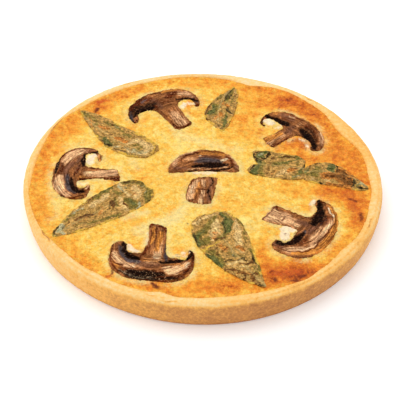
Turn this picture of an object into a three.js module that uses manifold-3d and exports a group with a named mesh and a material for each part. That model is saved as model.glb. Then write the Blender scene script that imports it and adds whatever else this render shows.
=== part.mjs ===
// A round savoury quiche, 24 cm across: a straight-sided shortcrust shell, an egg custard
// filling, slices of roasted mushroom and whole green leaves baked into the top.
//
// Millimetres, +Z up. The origin is the middle of the flat underside, +X is the right-hand
// side and +Y the back. Directions round the quiche are degrees from +X towards +Y.

import * as THREE from 'three';
import { mergeVertices } from 'three/addons/utils/BufferGeometryUtils.js';
import Module from 'manifold-3d';

const wasm = await Module();
wasm.setup();

// ---- Driving dimensions ----

const SHELL = {
  radius: 118.8, // widest point of the wall
  height: 19, // crest of the lip above the underside
  floor: 4, // pastry under the filling
  fillingRadius: 112.4, // typical radius where filling and lip meet
  lipShoulder: 2.2, // how far outside the filling the lip starts to dip towards it
  segments: 84,
};

// Outside of the wall, from the edge of the flat underside up to the crest of the lip:
// distance in from the widest point, and share of the height.
const WALL_PROFILE = [
  { inset: 4.4, rise: 0 },
  { inset: 2.9, rise: 0.03 },
  { inset: 2.2, rise: 0.115 },
  { inset: 0.8, rise: 0.42 },
  { inset: 0, rise: 0.7 },
  { inset: 0.3, rise: 0.86 },
  { inset: 1.3, rise: 0.955 },
  { inset: 3.2, rise: 1 },
];

// The hand-pressed shell isn't quite round or level: waves per turn, height and phase.
const WALL_WAVES = [
  { perTurn: 3, height: 0.25, phase: 0.7 },
  { perTurn: 5, height: 0.2, phase: 2.4 },
];
const LIP_WAVES = [
  { perTurn: 4, height: 0.22, phase: 1.1 },
  { perTurn: 9, height: 0.15, phase: 0.3 },
];
const FLAT_BACK = { at: 88, spread: 16, by: -0.9 };

const FILLING = {
  level: 17.6, // mean height of the custard
  meniscus: 0.5, // rise of the custard against the lip
  rings: 14, // six times this many segments round the edge
};

const GAP = 0.3; // clearance between neighbouring pieces

const MUSHROOM = {
  proud: 1.3, // top face above the custard
  sunk: 3.1, // underside below the custard
  bevel: 0.9, // rounding of the cut edges
  spacing: 2.7, // distance between outline points
};

const LEAF = {
  thickness: 0.8,
  lift: 0.55, // top face above the custard
  curl: 0.35, // rise of the margins
  along: 14, // divisions from stalk to tip
  across: 4, // divisions from margin to margin
};

// Places where the lip is broader (minus) or the filling has run out over it (plus):
// direction, spread in degrees, change of the filling's radius.
const LIP_SWELLS = [
  { at: 3, spread: 7, by: -2 },
  { at: 28, spread: 11, by: -5.6 },
  { at: 73, spread: 6, by: -5.6 },
  { at: 152, spread: 8, by: 2.6 },
  { at: 200, spread: 13, by: 4.2 },
  { at: 258, spread: 2.6, by: -2.6 },
  { at: 278, spread: 11, by: -1.4 },
  { at: 303, spread: 5, by: 1.4 },
  { at: 321, spread: 6, by: -1.6 },
  { at: 346, spread: 7, by: -1.2 },
];

// Slow waves of the custard's surface: wavelength, direction of travel, phase.
const CUSTARD_WAVES = [
  { length: 61, heading: 20, phase: 0.4 },
  { length: 47, heading: 97, phase: 2.1 },
  { length: 34, heading: 153, phase: 4.0 },
  { length: 27, heading: 58, phase: 1.2 },
];
const CUSTARD_WAVE_HEIGHT = 0.17;

// Mushroom slices. The local frame has its origin where stem and gills meet, v towards the
// crown and u to the right; heading is the direction of +v in the quiche. A lobe is the end
// of the cap that curls down beside the stem: tip gives the place of its end, wall the side
// of the hollow next to it and roof the height of that hollow.
const MUSHROOMS = [
  {
    name: 'mushroom_back_left', x: -26, y: 76, heading: 116,
    cap: { left: 29.5, right: 24, top: 18.8, peak: -3, fullLeft: 1.85, fullRight: 2.6 },
    lobeLeft: { tip: [27.5, 8.6], thick: 2.0, lean: -2.5, wall: 24, roof: 2.2 },
    lobeRight: { tip: [18, 8.4], thick: 1.8, lean: 1.2, wall: 19.5, roof: 2.2 },
    stem: { neck: [-9, 7], drop: 3, foot: [-5, 8], length: [27, 24.5], waist: 0.6, bulge: 1 },
  },
  {
    name: 'mushroom_back_right', x: 62, y: 50, heading: 44,
    cap: { left: 25.6, right: 26.2, top: 16.2, peak: 4, fullLeft: 2.5, fullRight: 1.8 },
    lobeLeft: { tip: [17.5, 11], thick: 1.8, lean: 0, wall: 22.6, roof: -0.5 },
    lobeRight: { tip: [22, 5.4], thick: 2, lean: -2, wall: 19, roof: 0.6 },
    stem: { neck: [-6.5, 4], drop: 3, foot: [-9, 3.8], length: [21, 22.4], waist: 1.6, bulge: 1 },
  },
  {
    name: 'mushroom_left', x: -80, y: 0, heading: 180,
    cap: { left: 25, right: 27.6, top: 19.6, peak: -4, fullLeft: 2.3, fullRight: 2.45 },
    lobeLeft: { tip: [11.5, 6.2], thick: 2.6, lean: 1.5, wall: 14, roof: 5.2 },
    lobeRight: { tip: [14, 11.4], thick: 2, lean: 0, wall: 22.2, roof: 0.8 },
    stem: { neck: [-5.5, 8], drop: 1.5, foot: [-6.6, 5], length: [25.4, 23.2], waist: 1.5, bulge: 0.4 },
  },
  {
    name: 'mushroom_front', x: -30, y: -78, heading: 268,
    cap: { left: 26, right: 27, top: 20.8, peak: -4, fullLeft: 2.9, fullRight: 2.35 },
    lobeLeft: { tip: [21.5, 8.6], thick: 2.6, lean: 1, wall: 22, roof: 1.6 },
    lobeRight: { tip: [19.2, 14], thick: 2.4, lean: -2.2, wall: 16.5, roof: -1.8 },
    stem: { neck: [-8.3, 7], drop: 4, foot: [-7.5, 4.5], length: [27.5, 31], waist: 1, bulge: -1 },
  },
  {
    name: 'mushroom_right', x: 64, y: -48, heading: -33,
    cap: { left: 29, right: 28, top: 20.8, peak: 0, fullLeft: 1.9, fullRight: 2.6 },
    lobeLeft: { tip: [30.6, 6.8], thick: 1.8, lean: -2.5, wall: 22, roof: 0.8 },
    lobeRight: { tip: [20.5, 9], thick: 2, lean: -2, wall: 18.5, roof: -0.2 },
    stem: { neck: [-10.3, 3.5], drop: 2.5, foot: [-8, 9], length: [25.5, 25.5], waist: 0.8, bulge: 0.3 },
  },
];

// The middle slice has come apart: a cap with a straight lower edge and its loose stem.
const CENTRE_CAP = {
  name: 'mushroom_centre_cap', x: 2, y: 5, heading: 92,
  cap: { left: 25, right: 22.5, top: 22.8, peak: 1, fullLeft: 2, fullRight: 2.2 },
  edgeDrop: 0.8, // rounding of the two lower corners
};
const CENTRE_STEM = {
  name: 'mushroom_centre_stem', x: 2, y: 5, heading: 92,
  head: { left: [-9.5, -8], right: [8, -6.5], crown: 3.6 },
  foot: { left: [-13, -28.5], right: [2.5, -32], sag: 3 },
  bow: { left: -2.8, right: 0.8 },
};

// Leaves. stalk and tip are the ends of the midrib in a local frame like the one above. Each
// side has its own width and two powers, which set how fast it opens at the stalk and closes
// at the tip; bend moves the midrib sideways, and notch is the share of the length by which a
// two-lobed tip is cut back at the midrib.
const LEAVES = [
  {
    name: 'leaf_back_left', x: -62, y: 46, heading: 139, stalk: [0, 33.5], tip: [-1.5, -36.5],
    sideA: { width: 16, open: 0.56, close: 0.26 }, sideB: { width: 9.3, open: 1.62, close: 0.66 },
    bend: -5.2,
  },
  {
    name: 'leaf_back', x: 12, y: 76, heading: 80, stalk: [5, 27.5], tip: [5, -26.5],
    sideA: { width: 12, open: 0.73, close: 0.77 }, sideB: { width: 9.4, open: 2.2, close: 1.1 },
    bend: -6.4,
  },
  {
    name: 'leaf_right_inner', x: 68, y: 8, heading: 172, stalk: [2, 0.8], tip: [3, 37.4],
    sideA: { width: 13, open: 0.1, close: 0.13 }, sideB: { width: 14.2, open: 0.14, close: 0.06 },
    bend: 0.4, notch: 0.13,
  },
  {
    name: 'leaf_right_outer', x: 68, y: 8, heading: 172, stalk: [-1, 0], tip: [-10.2, -44.4],
    sideA: { width: 10, open: 0.6, close: 2.2 }, sideB: { width: 13.6, open: 0.36, close: 0.6 },
    bend: 6.4,
  },
  {
    name: 'leaf_left', x: -64, y: -34, heading: 38, stalk: [4, -41], tip: [0, 36.4],
    sideA: { width: 13.6, open: 0.68, close: 0.24 }, sideB: { width: 14.3, open: 0.9, close: 0.38 },
    bend: 2.7,
  },
  {
    name: 'leaf_front', x: 18, y: -67, heading: 113, stalk: [6, -40], tip: [-1, 34.6],
    sideA: { width: 17.2, open: 0.74, close: 0.31 }, sideB: { width: 16, open: 1, close: 0.36 },
    bend: 2.7,
  },
];

const FINISH = {
  pastry: { color: 0xe0a763, roughness: 0.75, metalness: 0 },
  custard: { color: 0xf8c45c, roughness: 0.45, metalness: 0 },
  mushroom: { color: 0x6e452c, roughness: 0.55, metalness: 0 },
  stem: { color: 0xb07d55, roughness: 0.6, metalness: 0 },
  leaf: { color: 0x7d8250, roughness: 0.6, metalness: 0 },
};

// ---- Small helpers ----

const radians = THREE.MathUtils.degToRad;

// Angle from a to b in degrees, between -180 and 180.
function angleBetween(a, b) {
  return THREE.MathUtils.euclideanModulo(a - b + 180, 360) - 180;
}

function quadratic(start, control, end, count) {
  const curve = new THREE.QuadraticBezierCurve(
    new THREE.Vector2(...start), new THREE.Vector2(...control), new THREE.Vector2(...end));
  return curve.getPoints(count).slice(1);
}

function cubic(start, controlA, controlB, end, count) {
  const curve = new THREE.CubicBezierCurve(
    new THREE.Vector2(...start), new THREE.Vector2(...controlA),
    new THREE.Vector2(...controlB), new THREE.Vector2(...end));
  return curve.getPoints(count).slice(1);
}

// Points at an even spacing along a closed outline, with its corners eased.
function evenOutline(points, spacing, easing = 2) {
  const closed = [...points, points[0]];
  const along = [0];
  for (let i = 1; i < closed.length; i += 1) {
    along.push(along[i - 1] + closed[i].distanceTo(closed[i - 1]));
  }
  const total = along[along.length - 1];
  const fine = Math.round(total / (spacing / 3));
  let even = [];
  let piece = 0;
  for (let k = 0; k < fine; k += 1) {
    const at = total * k / fine;
    while (along[piece + 1] < at) piece += 1;
    const part = (at - along[piece]) / (along[piece + 1] - along[piece]);
    even.push(closed[piece].clone().lerp(closed[piece + 1], part));
  }
  for (let pass = 0; pass < easing; pass += 1) {
    even = even.map((point, i) => {
      const before = even[(i + fine - 1) % fine];
      const after = even[(i + 1) % fine];
      return point.clone().multiplyScalar(2).add(before).add(after).multiplyScalar(0.25);
    });
  }
  return even.filter((point, i) => i % 3 === 0);
}

// The outline moved sideways: outwards for a positive distance, and inwards for a negative
// one, but by less where the piece is thin, so that its two sides never meet.
function offsetOutline(points, distance) {
  const count = points.length;
  const turning = THREE.ShapeUtils.isClockWise(points) ? -1 : 1;
  return points.map((point, i) => {
    const opposite = points.filter((other, k) => {
      const steps = Math.abs(i - k);
      return Math.min(steps, count - steps) > 2;
    });
    const width = Math.min(...opposite.map((other) => other.distanceTo(point)));
    const step = Math.max(distance, -0.3 * width);
    const before = points[(i + count - 1) % count];
    const after = points[(i + 1) % count];
    const run = after.clone().sub(before).normalize().multiplyScalar(step * turning);
    return new THREE.Vector2(point.x + run.y, point.y - run.x);
  });
}

function solidFrom(positions, triangles) {
  const geometry = new THREE.BufferGeometry();
  geometry.setAttribute('position', new THREE.Float32BufferAttribute(positions, 3));
  geometry.setIndex(triangles);
  return geometry;
}

function toManifold(geometry) {
  const bare = new THREE.BufferGeometry();
  bare.setAttribute('position', geometry.getAttribute('position'));
  bare.setIndex(geometry.getIndex());
  const merged = mergeVertices(bare, 1e-4);
  return new wasm.Manifold(new wasm.Mesh({
    numProp: 3,
    vertProperties: merged.getAttribute('position').array,
    triVerts: new Uint32Array(merged.getIndex().array),
  }));
}

function fromManifold(solid) {
  const mesh = solid.getMesh();
  return solidFrom(Array.from(mesh.vertProperties), Array.from(mesh.triVerts));
}

// ---- Surfaces that the pieces share ----

function wavesAt(azimuth, waves) {
  return waves.reduce((sum, { perTurn, height, phase }) => (
    sum + height * Math.sin(perTurn * radians(azimuth) + phase)), 0);
}

// A smooth bump round one direction, such as a swell of the lip.
function swellAt(azimuth, { at, spread, by }) {
  return by * Math.exp(-((angleBetween(azimuth, at) / spread) ** 2));
}

function wallRadius(azimuth) {
  return SHELL.radius + wavesAt(azimuth, WALL_WAVES) + swellAt(azimuth, FLAT_BACK);
}

function lipHeight(azimuth) {
  return SHELL.height + wavesAt(azimuth, LIP_WAVES);
}

function fillingRadius(azimuth) {
  return LIP_SWELLS.reduce((radius, swell) => radius + swellAt(azimuth, swell), SHELL.fillingRadius);
}

function custardHeight(x, y) {
  const azimuth = THREE.MathUtils.radToDeg(Math.atan2(y, x));
  const reach = Math.min(1, Math.hypot(x, y) / fillingRadius(azimuth));
  let height = FILLING.level + FILLING.meniscus * reach ** 16;
  for (const wave of CUSTARD_WAVES) {
    const heading = radians(wave.heading);
    const along = x * Math.cos(heading) + y * Math.sin(heading);
    height += CUSTARD_WAVE_HEIGHT * Math.sin(2 * Math.PI * along / wave.length + wave.phase);
  }
  return height;
}

// ---- Pastry shell ----

// Section of the shell at one azimuth, from the middle of the underside round the wall and
// the lip to the middle of the floor inside: radius and height of each point.
function shellSection(azimuth) {
  const wall = wallRadius(azimuth);
  const top = lipHeight(azimuth);
  const inner = fillingRadius(azimuth);
  const radian = radians(azimuth);
  const brim = custardHeight(inner * Math.cos(radian), inner * Math.sin(radian));
  const outside = WALL_PROFILE.map(({ inset, rise }) => [wall - inset, top * rise]);
  const [crest] = outside[outside.length - 1];
  return [
    ...outside,
    [Math.min(crest - 0.4, inner + SHELL.lipShoulder), top - 0.15],
    [inner + 0.5, (top + brim) / 2],
    [inner, brim - 0.2],
    [inner, SHELL.floor],
  ];
}

function shellGeometry() {
  const positions = [];
  const triangles = [];
  const count = SHELL.segments;
  const rows = shellSection(0).length;
  for (let i = 0; i < count; i += 1) {
    const azimuth = 360 * i / count;
    for (const [radius, height] of shellSection(azimuth)) {
      positions.push(radius * Math.cos(radians(azimuth)), radius * Math.sin(radians(azimuth)), height);
    }
  }
  const under = count * rows;
  const floor = under + 1;
  positions.push(0, 0, 0, 0, 0, SHELL.floor);
  for (let i = 0; i < count; i += 1) {
    const here = i * rows;
    const next = ((i + 1) % count) * rows;
    triangles.push(under, next, here);
    triangles.push(floor, here + rows - 1, next + rows - 1);
    for (let k = 0; k + 1 < rows; k += 1) {
      triangles.push(here + k, next + k, here + k + 1);
      triangles.push(next + k, next + k + 1, here + k + 1);
    }
  }
  return solidFrom(positions, triangles);
}

// ---- Custard filling ----

// A disc of rings, ring k with 6k points, so that its triangles are all about one size.
function custardGeometry() {
  const rings = FILLING.rings;
  const positions = [0, 0, custardHeight(0, 0)];
  const triangles = [];
  const firstOf = (ring) => 1 + 3 * ring * (ring - 1);
  for (let ring = 1; ring <= rings; ring += 1) {
    for (let i = 0; i < 6 * ring; i += 1) {
      const azimuth = 360 * i / (6 * ring);
      const radius = (fillingRadius(azimuth) - GAP) * ring / rings;
      const x = radius * Math.cos(radians(azimuth));
      const y = radius * Math.sin(radians(azimuth));
      positions.push(x, y, custardHeight(x, y));
    }
  }
  const pointOn = (ring, i) => (ring === 0 ? 0 : firstOf(ring) + (i % (6 * ring)));
  for (let ring = 1; ring <= rings; ring += 1) {
    for (let sector = 0; sector < 6; sector += 1) {
      for (let i = 0; i < ring; i += 1) {
        const outer = sector * ring + i;
        const inner = sector * (ring - 1) + i;
        triangles.push(pointOn(ring, outer), pointOn(ring, outer + 1), pointOn(ring - 1, inner));
        if (i + 1 < ring) {
          triangles.push(pointOn(ring, outer + 1), pointOn(ring - 1, inner + 1), pointOn(ring - 1, inner));
        }
      }
    }
  }
  // The side and the flat underside, which rests on the pastry.
  const edge = 6 * rings;
  const lower = positions.length / 3;
  for (let i = 0; i < edge; i += 1) {
    const above = firstOf(rings) + i;
    positions.push(positions[3 * above], positions[3 * above + 1], SHELL.floor + GAP);
  }
  const middle = positions.length / 3;
  positions.push(0, 0, SHELL.floor + GAP);
  for (let i = 0; i < edge; i += 1) {
    const next = (i + 1) % edge;
    const above = firstOf(rings) + i;
    const aboveNext = firstOf(rings) + next;
    triangles.push(above, lower + i, aboveNext);
    triangles.push(aboveNext, lower + i, lower + next);
    triangles.push(middle, lower + next, lower + i);
  }
  return solidFrom(positions, triangles);
}

// ---- Mushroom slices ----

// The domed edge of the cap, from its left side over the crown to its right side.
function capArc(cap, count = 48) {
  const points = [];
  for (let i = 0; i <= count; i += 1) {
    const angle = Math.PI * (1 - i / count);
    const across = Math.cos(angle);
    const side = across < 0 ? cap.left + cap.peak : cap.right - cap.peak;
    const fullness = across < 0 ? cap.fullLeft : cap.fullRight;
    const reach = Math.sign(across) * Math.abs(across) ** (2 / fullness);
    const rise = Math.abs(Math.sin(angle)) ** (2 / fullness);
    points.push(new THREE.Vector2(cap.peak + side * reach, cap.top * rise));
  }
  return points;
}

// From the cap's side round the tip of the lobe and through the hollow to the stem's neck,
// for the right-hand side; the left-hand side is its mirror image.
function lobeEdge(side, lobe, neck, drop) {
  const tip = [lobe.tip[0], -lobe.tip[1]];
  const back = [tip[0] + lobe.lean, tip[1] + lobe.thick];
  const wall = [lobe.wall, (back[1] + lobe.roof) / 2];
  const arch = lobe.roof * 1.3;
  return [
    ...quadratic([side, 0], [side, tip[1]], tip, 10),
    ...quadratic(tip, [tip[0] - lobe.thick * 0.45, tip[1] + lobe.thick / 2], back, 4),
    ...quadratic(back, [lobe.wall, back[1]], wall, 6),
    ...cubic(wall, [lobe.wall, arch - wall[1] * 0.3], [neck, arch + drop * 0.3], [neck, -drop], 12),
  ];
}

function sliceOutline({ cap, lobeLeft, lobeRight, stem }) {
  const [neckLeft, neckRight] = stem.neck;
  const footRight = [stem.foot[1], -stem.length[1]];
  const footLeft = [stem.foot[0], -stem.length[0]];
  const sole = Math.min(footLeft[1], footRight[1]) - stem.bulge;
  const waistRight = [(neckRight + footRight[0]) / 2 - stem.waist, (footRight[1] - stem.drop) / 2];
  const waistLeft = [(neckLeft + footLeft[0]) / 2 + stem.waist, (footLeft[1] - stem.drop) / 2];
  const leftEdge = lobeEdge(cap.left, lobeLeft, -neckLeft, stem.drop)
    .map((point) => new THREE.Vector2(-point.x, point.y));
  return [
    ...capArc(cap),
    ...lobeEdge(cap.right, lobeRight, neckRight, stem.drop),
    ...quadratic([neckRight, -stem.drop], waistRight, footRight, 10),
    ...quadratic(footRight, [(footLeft[0] + footRight[0]) / 2, sole], footLeft, 6),
    ...quadratic(footLeft, waistLeft, [neckLeft, -stem.drop], 10),
    ...leftEdge.slice(0, -1).reverse(),
  ];
}

function centreCapOutline({ cap, edgeDrop }) {
  return [
    ...capArc(cap),
    ...quadratic([cap.right, 0], [cap.right - 0.5, -edgeDrop], [cap.right - 4, -edgeDrop], 4),
    ...quadratic([cap.right - 4, -edgeDrop], [0, 1], [4 - cap.left, -edgeDrop], 10),
    ...quadratic([4 - cap.left, -edgeDrop], [0.5 - cap.left, -edgeDrop], [-cap.left, 0], 4).slice(0, -1),
  ];
}

function looseStemOutline({ head, foot, bow }) {
  const between = (a, b, du, dv) => [(a[0] + b[0]) / 2 + du, (a[1] + b[1]) / 2 + dv];
  return [
    ...quadratic(head.left, between(head.left, head.right, 0, head.crown), head.right, 8),
    ...quadratic(head.right, between(head.right, foot.right, bow.right, 0), foot.right, 10),
    ...quadratic(foot.right, between(foot.right, foot.left, 0, -foot.sag), foot.left, 8),
    ...quadratic(foot.left, between(foot.left, head.left, bow.left, 0), head.left, 10),
  ];
}

// A flat slice with bevelled upper edges: rings from the underside to the top face, each a
// copy of the outline at its own inset and height, closed by the two flat faces.
function stackedSolid(outline, levels) {
  const upright = THREE.ShapeUtils.isClockWise(outline) ? [...outline].reverse() : outline;
  const count = upright.length;
  const positions = [];
  const triangles = [];
  for (const { inset, height } of levels) {
    for (const point of offsetOutline(upright, -inset)) positions.push(point.x, point.y, height);
  }
  for (let row = 0; row + 1 < levels.length; row += 1) {
    for (let i = 0; i < count; i += 1) {
      const a = row * count + i;
      const b = row * count + (i + 1) % count;
      triangles.push(a, b, a + count, b, b + count, a + count);
    }
  }
  const top = (levels.length - 1) * count;
  for (const [a, b, c] of THREE.ShapeUtils.triangulateShape(upright, [])) {
    triangles.push(a, c, b);
    triangles.push(top + a, top + b, top + c);
  }
  return solidFrom(positions, triangles);
}

function sliceGeometry(outline) {
  return stackedSolid(evenOutline(outline, MUSHROOM.spacing), [
    { inset: 0, height: -MUSHROOM.sunk },
    { inset: 0, height: MUSHROOM.proud - MUSHROOM.bevel },
    { inset: MUSHROOM.bevel, height: MUSHROOM.proud },
  ]);
}

function slicePocket(outline) {
  return stackedSolid(evenOutline(outline, MUSHROOM.spacing), [
    { inset: -GAP, height: -MUSHROOM.sunk - GAP },
    { inset: -GAP, height: MUSHROOM.proud + SHELL.height },
  ]);
}

// ---- Leaves ----

// Share of a side's full width at a place between the stalk (0) and the tip (1).
function sideProfile(place, { open, close }) {
  const widest = open / (open + close);
  return (place / widest) ** open * ((1 - place) / (1 - widest)) ** close;
}

// Plan position at a place along the leaf and a share across it, -1 to 1.
function leafPoint(leaf, place, share, grow) {
  const run = new THREE.Vector2(leaf.tip[0] - leaf.stalk[0], leaf.tip[1] - leaf.stalk[1]);
  const normal = new THREE.Vector2(-run.y, run.x).normalize();
  const along = run.clone().normalize();
  const side = share > 0 ? leaf.sideA : leaf.sideB;
  const half = Math.abs(share) * (side.width * sideProfile(place, side) + grow);
  const shift = leaf.bend * 4 * place * (1 - place);
  const stretch = grow * (2 * place - 1);
  const cutBack = (leaf.notch ?? 0) * place ** 3 * (1 - Math.abs(share)) ** 1.5;
  return new THREE.Vector2(...leaf.stalk)
    .addScaledVector(run, place - cutBack)
    .addScaledVector(along, stretch)
    .addScaledVector(normal, Math.sign(share) * half + shift);
}

// A thin wavy plate that follows the custard; its two faces are split alike.
function leafGeometry(leaf, { grow, below, above }) {
  const turn = radians(leaf.heading - 90);
  const { along, across } = LEAF;
  const positions = [];
  const triangles = [];
  for (const lift of [above, below]) {
    for (let i = 0; i <= along; i += 1) {
      const place = THREE.MathUtils.clamp(0.5 - 0.5 * Math.cos(Math.PI * i / along), 0.006, 0.994);
      for (let k = 0; k <= across; k += 1) {
        const share = 2 * k / across - 1;
        const point = leafPoint(leaf, place, share, grow);
        const x = leaf.x + point.x * Math.cos(turn) - point.y * Math.sin(turn);
        const y = leaf.y + point.x * Math.sin(turn) + point.y * Math.cos(turn);
        const curl = LEAF.curl * share * share * (0.6 + 0.4 * Math.sin(9 * place + leaf.x));
        positions.push(point.x, point.y, custardHeight(x, y) - FILLING.level + curl + lift);
      }
    }
  }
  const row = across + 1;
  const face = (along + 1) * row;
  for (let i = 0; i < along; i += 1) {
    for (let k = 0; k < across; k += 1) {
      const a = i * row + k;
      triangles.push(a, a + row, a + 1, a + 1, a + row, a + row + 1);
      triangles.push(face + a, face + a + 1, face + a + row);
      triangles.push(face + a + 1, face + a + row + 1, face + a + row);
    }
  }
  const rim = [];
  for (let k = 0; k < across; k += 1) rim.push(k);
  for (let i = 0; i < along; i += 1) rim.push(i * row + across);
  for (let k = across; k > 0; k -= 1) rim.push(along * row + k);
  for (let i = along; i > 0; i -= 1) rim.push(i * row);
  rim.forEach((a, i) => {
    const b = rim[(i + 1) % rim.length];
    triangles.push(a, b, face + a, b, face + b, face + a);
  });
  return solidFrom(positions, triangles);
}

const leafBody = (leaf) => leafGeometry(leaf, {
  grow: 0,
  below: LEAF.lift - LEAF.thickness,
  above: LEAF.lift,
});
const leafPocket = (leaf) => leafGeometry(leaf, {
  grow: GAP,
  below: LEAF.lift - LEAF.thickness - GAP,
  above: SHELL.height,
});

// ---- Assembly ----

const quiche = new THREE.Group();
quiche.name = 'quiche';

function addPiece(parent, name, geometry, finish) {
  const piece = new THREE.Mesh(geometry, new THREE.MeshStandardMaterial(finish));
  piece.name = name;
  parent.add(piece);
  return piece;
}

// Everything laid in the custard stands in one group at the custard's level.
const toppings = new THREE.Group();
toppings.position.z = FILLING.level;
quiche.add(toppings);

const pockets = [];

function layTopping({ name, x, y, heading }, geometry, pocket, finish) {
  const piece = addPiece(toppings, name, geometry, finish);
  piece.position.set(x, y, 0);
  piece.rotation.z = radians(heading - 90);
  quiche.updateMatrixWorld(true);
  pockets.push(toManifold(pocket.applyMatrix4(piece.matrixWorld)));
}

for (const slice of MUSHROOMS) {
  const outline = sliceOutline(slice);
  layTopping(slice, sliceGeometry(outline), slicePocket(outline), FINISH.mushroom);
}

const centreCap = centreCapOutline(CENTRE_CAP);
layTopping(CENTRE_CAP, sliceGeometry(centreCap), slicePocket(centreCap), FINISH.mushroom);

const centreStem = looseStemOutline(CENTRE_STEM);
layTopping(CENTRE_STEM, sliceGeometry(centreStem), slicePocket(centreStem), FINISH.stem);

for (const leaf of LEAVES) {
  layTopping(leaf, leafBody(leaf), leafPocket(leaf), FINISH.leaf);
}

let custard = toManifold(custardGeometry());
for (const pocket of pockets) custard = custard.subtract(pocket);

addPiece(quiche, 'crust', shellGeometry(), FINISH.pastry);
addPiece(quiche, 'custard', fromManifold(custard), FINISH.custard);

export default quiche;
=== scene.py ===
"""Looks for a round savoury quiche: baked pastry, browned custard, mushroom slices and leaves.

Laid out as an add-on. Each operator dresses one kind of piece and replaces its plain solids.
Shapes are worked out in millimetres from the solids in the frame, and written in metres.
"""

import itertools
import math

import bpy
import numpy as np
from mathutils import Matrix, Vector, geometry


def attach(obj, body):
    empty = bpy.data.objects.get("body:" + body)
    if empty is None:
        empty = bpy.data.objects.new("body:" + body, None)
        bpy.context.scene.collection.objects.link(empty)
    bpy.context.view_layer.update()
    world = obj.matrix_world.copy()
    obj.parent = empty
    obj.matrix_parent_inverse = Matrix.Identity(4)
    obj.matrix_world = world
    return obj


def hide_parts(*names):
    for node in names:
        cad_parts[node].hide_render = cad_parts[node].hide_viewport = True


bl_info = {
    "name": "Mushroom quiche",
    "version": (1, 0, 0),
    "blender": (4, 5, 0),
    "location": "3D View > Sidebar > Quiche",
    "description": "Dresses the solids of a quiche as pastry, custard, mushroom slices and leaves",
    "category": "Object",
}

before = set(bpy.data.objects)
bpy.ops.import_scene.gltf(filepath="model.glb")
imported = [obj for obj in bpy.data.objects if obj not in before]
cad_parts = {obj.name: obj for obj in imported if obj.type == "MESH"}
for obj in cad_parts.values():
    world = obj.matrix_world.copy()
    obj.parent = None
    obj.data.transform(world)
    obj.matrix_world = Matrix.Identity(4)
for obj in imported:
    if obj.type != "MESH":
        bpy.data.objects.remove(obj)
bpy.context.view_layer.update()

MM = 0.001  # metres in a millimetre
BODY = "root"

# ---- Sizes and places that repeat the solids', in millimetres ----

# Outside of the wall, from the foot up to the crest of the lip: distance in from the widest
# point, and share of the height.
WALL_PROFILE = [
    (3.8, 0.0), (2.4, 0.03), (1.9, 0.115), (0.7, 0.42), (0.0, 0.7), (0.3, 0.86), (1.3, 0.955), (3.2, 1.0),
]
LIP_SHOULDER = 2.2  # how far outside the filling the lip starts to dip towards it
FLOOR = 4.0  # pastry under the filling
GAP = 0.3  # clearance between neighbouring solids

LEVEL = 17.6  # mean height of the custard
MENISCUS = 0.5  # rise of the custard against the lip
WAVES = [(61, 20, 0.4), (47, 97, 2.1), (34, 153, 4.0), (27, 58, 1.2)]  # length, heading, phase
WAVE_HEIGHT = 0.17

SLICE_PROUD = 1.3  # top of a slice above the custard's mean height
SLICE_SUNK = 3.1  # its underside below that height
LEAF_LIFT = 0.55  # top of a leaf above the custard

OUTLINE_SPACING = 0.55  # between the points of a topping's outline
BLOCK = 4000  # points whose distances are worked out at a time

# Where each thing laid in the custard has its own frame: place, and heading of its v axis. In
# that frame v runs to a slice's crown or a leaf's upper end, and u to the right of it.
PLACES = {
    "mushroom_back_left": (-26, 76, 116),
    "mushroom_back_right": (62, 50, 44),
    "mushroom_left": (-80, 0, 180),
    "mushroom_front": (-30, -78, 268),
    "mushroom_right": (64, -48, -33),
    "mushroom_centre_cap": (2, 5, 92),
    "mushroom_centre_stem": (2, 5, 92),
    "leaf_back_left": (-62, 48, 135),
    "leaf_back": (13, 77, 80),
    "leaf_right_inner": (70, 8, 175),
    "leaf_right_outer": (70, 8, 175),
    "leaf_left": (-64, -33, 36),
    "leaf_front": (16, -67, 110),
}

# Ends of each leaf's midrib in its own frame, stalk first, and how far it bows sideways.
MIDRIBS = {
    "leaf_back_left": ((-3.8, 32), (-0.4, -37.9), -5.2),
    "leaf_back": ((4.2, 26.3), (4.2, -27.7), -6.4),
    "leaf_right_inner": ((1.9, 2.7), (4.8, 39.2), 0.4),
    "leaf_right_outer": ((-1.2, 2), (-12.7, -41.8), 6.4),
    "leaf_left": ((6.2, -41.4), (-0.5, 35.8), 2.7),
    "leaf_front": ((10, -40.3), (-0.9, 33.8), 2.7),
}

# Small changes of the slices' outlines, in their own frames: place, reach, and shift across
# and along.
OUTLINE_SHIFTS = {
    "mushroom_front": [(-14, 3, 6, 0, -1.6), (12, -1, 4.5, 0, -2.2), (5, -14, 8, -1.6, 0)],
    "mushroom_left": [(-10, 5, 5, 0, -1.6), (14, 1, 6, 0, -1.8), (-6.8, -11, 7, 1.5, 0)],
    "mushroom_right": [(-18, 1, 6, 0, -1.2)],
}

# ---- What is painted on each piece ----
#
# A stroke is (channel, softness, strength, point, ...), where a point is (u, v, half width), in
# millimetres.

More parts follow.
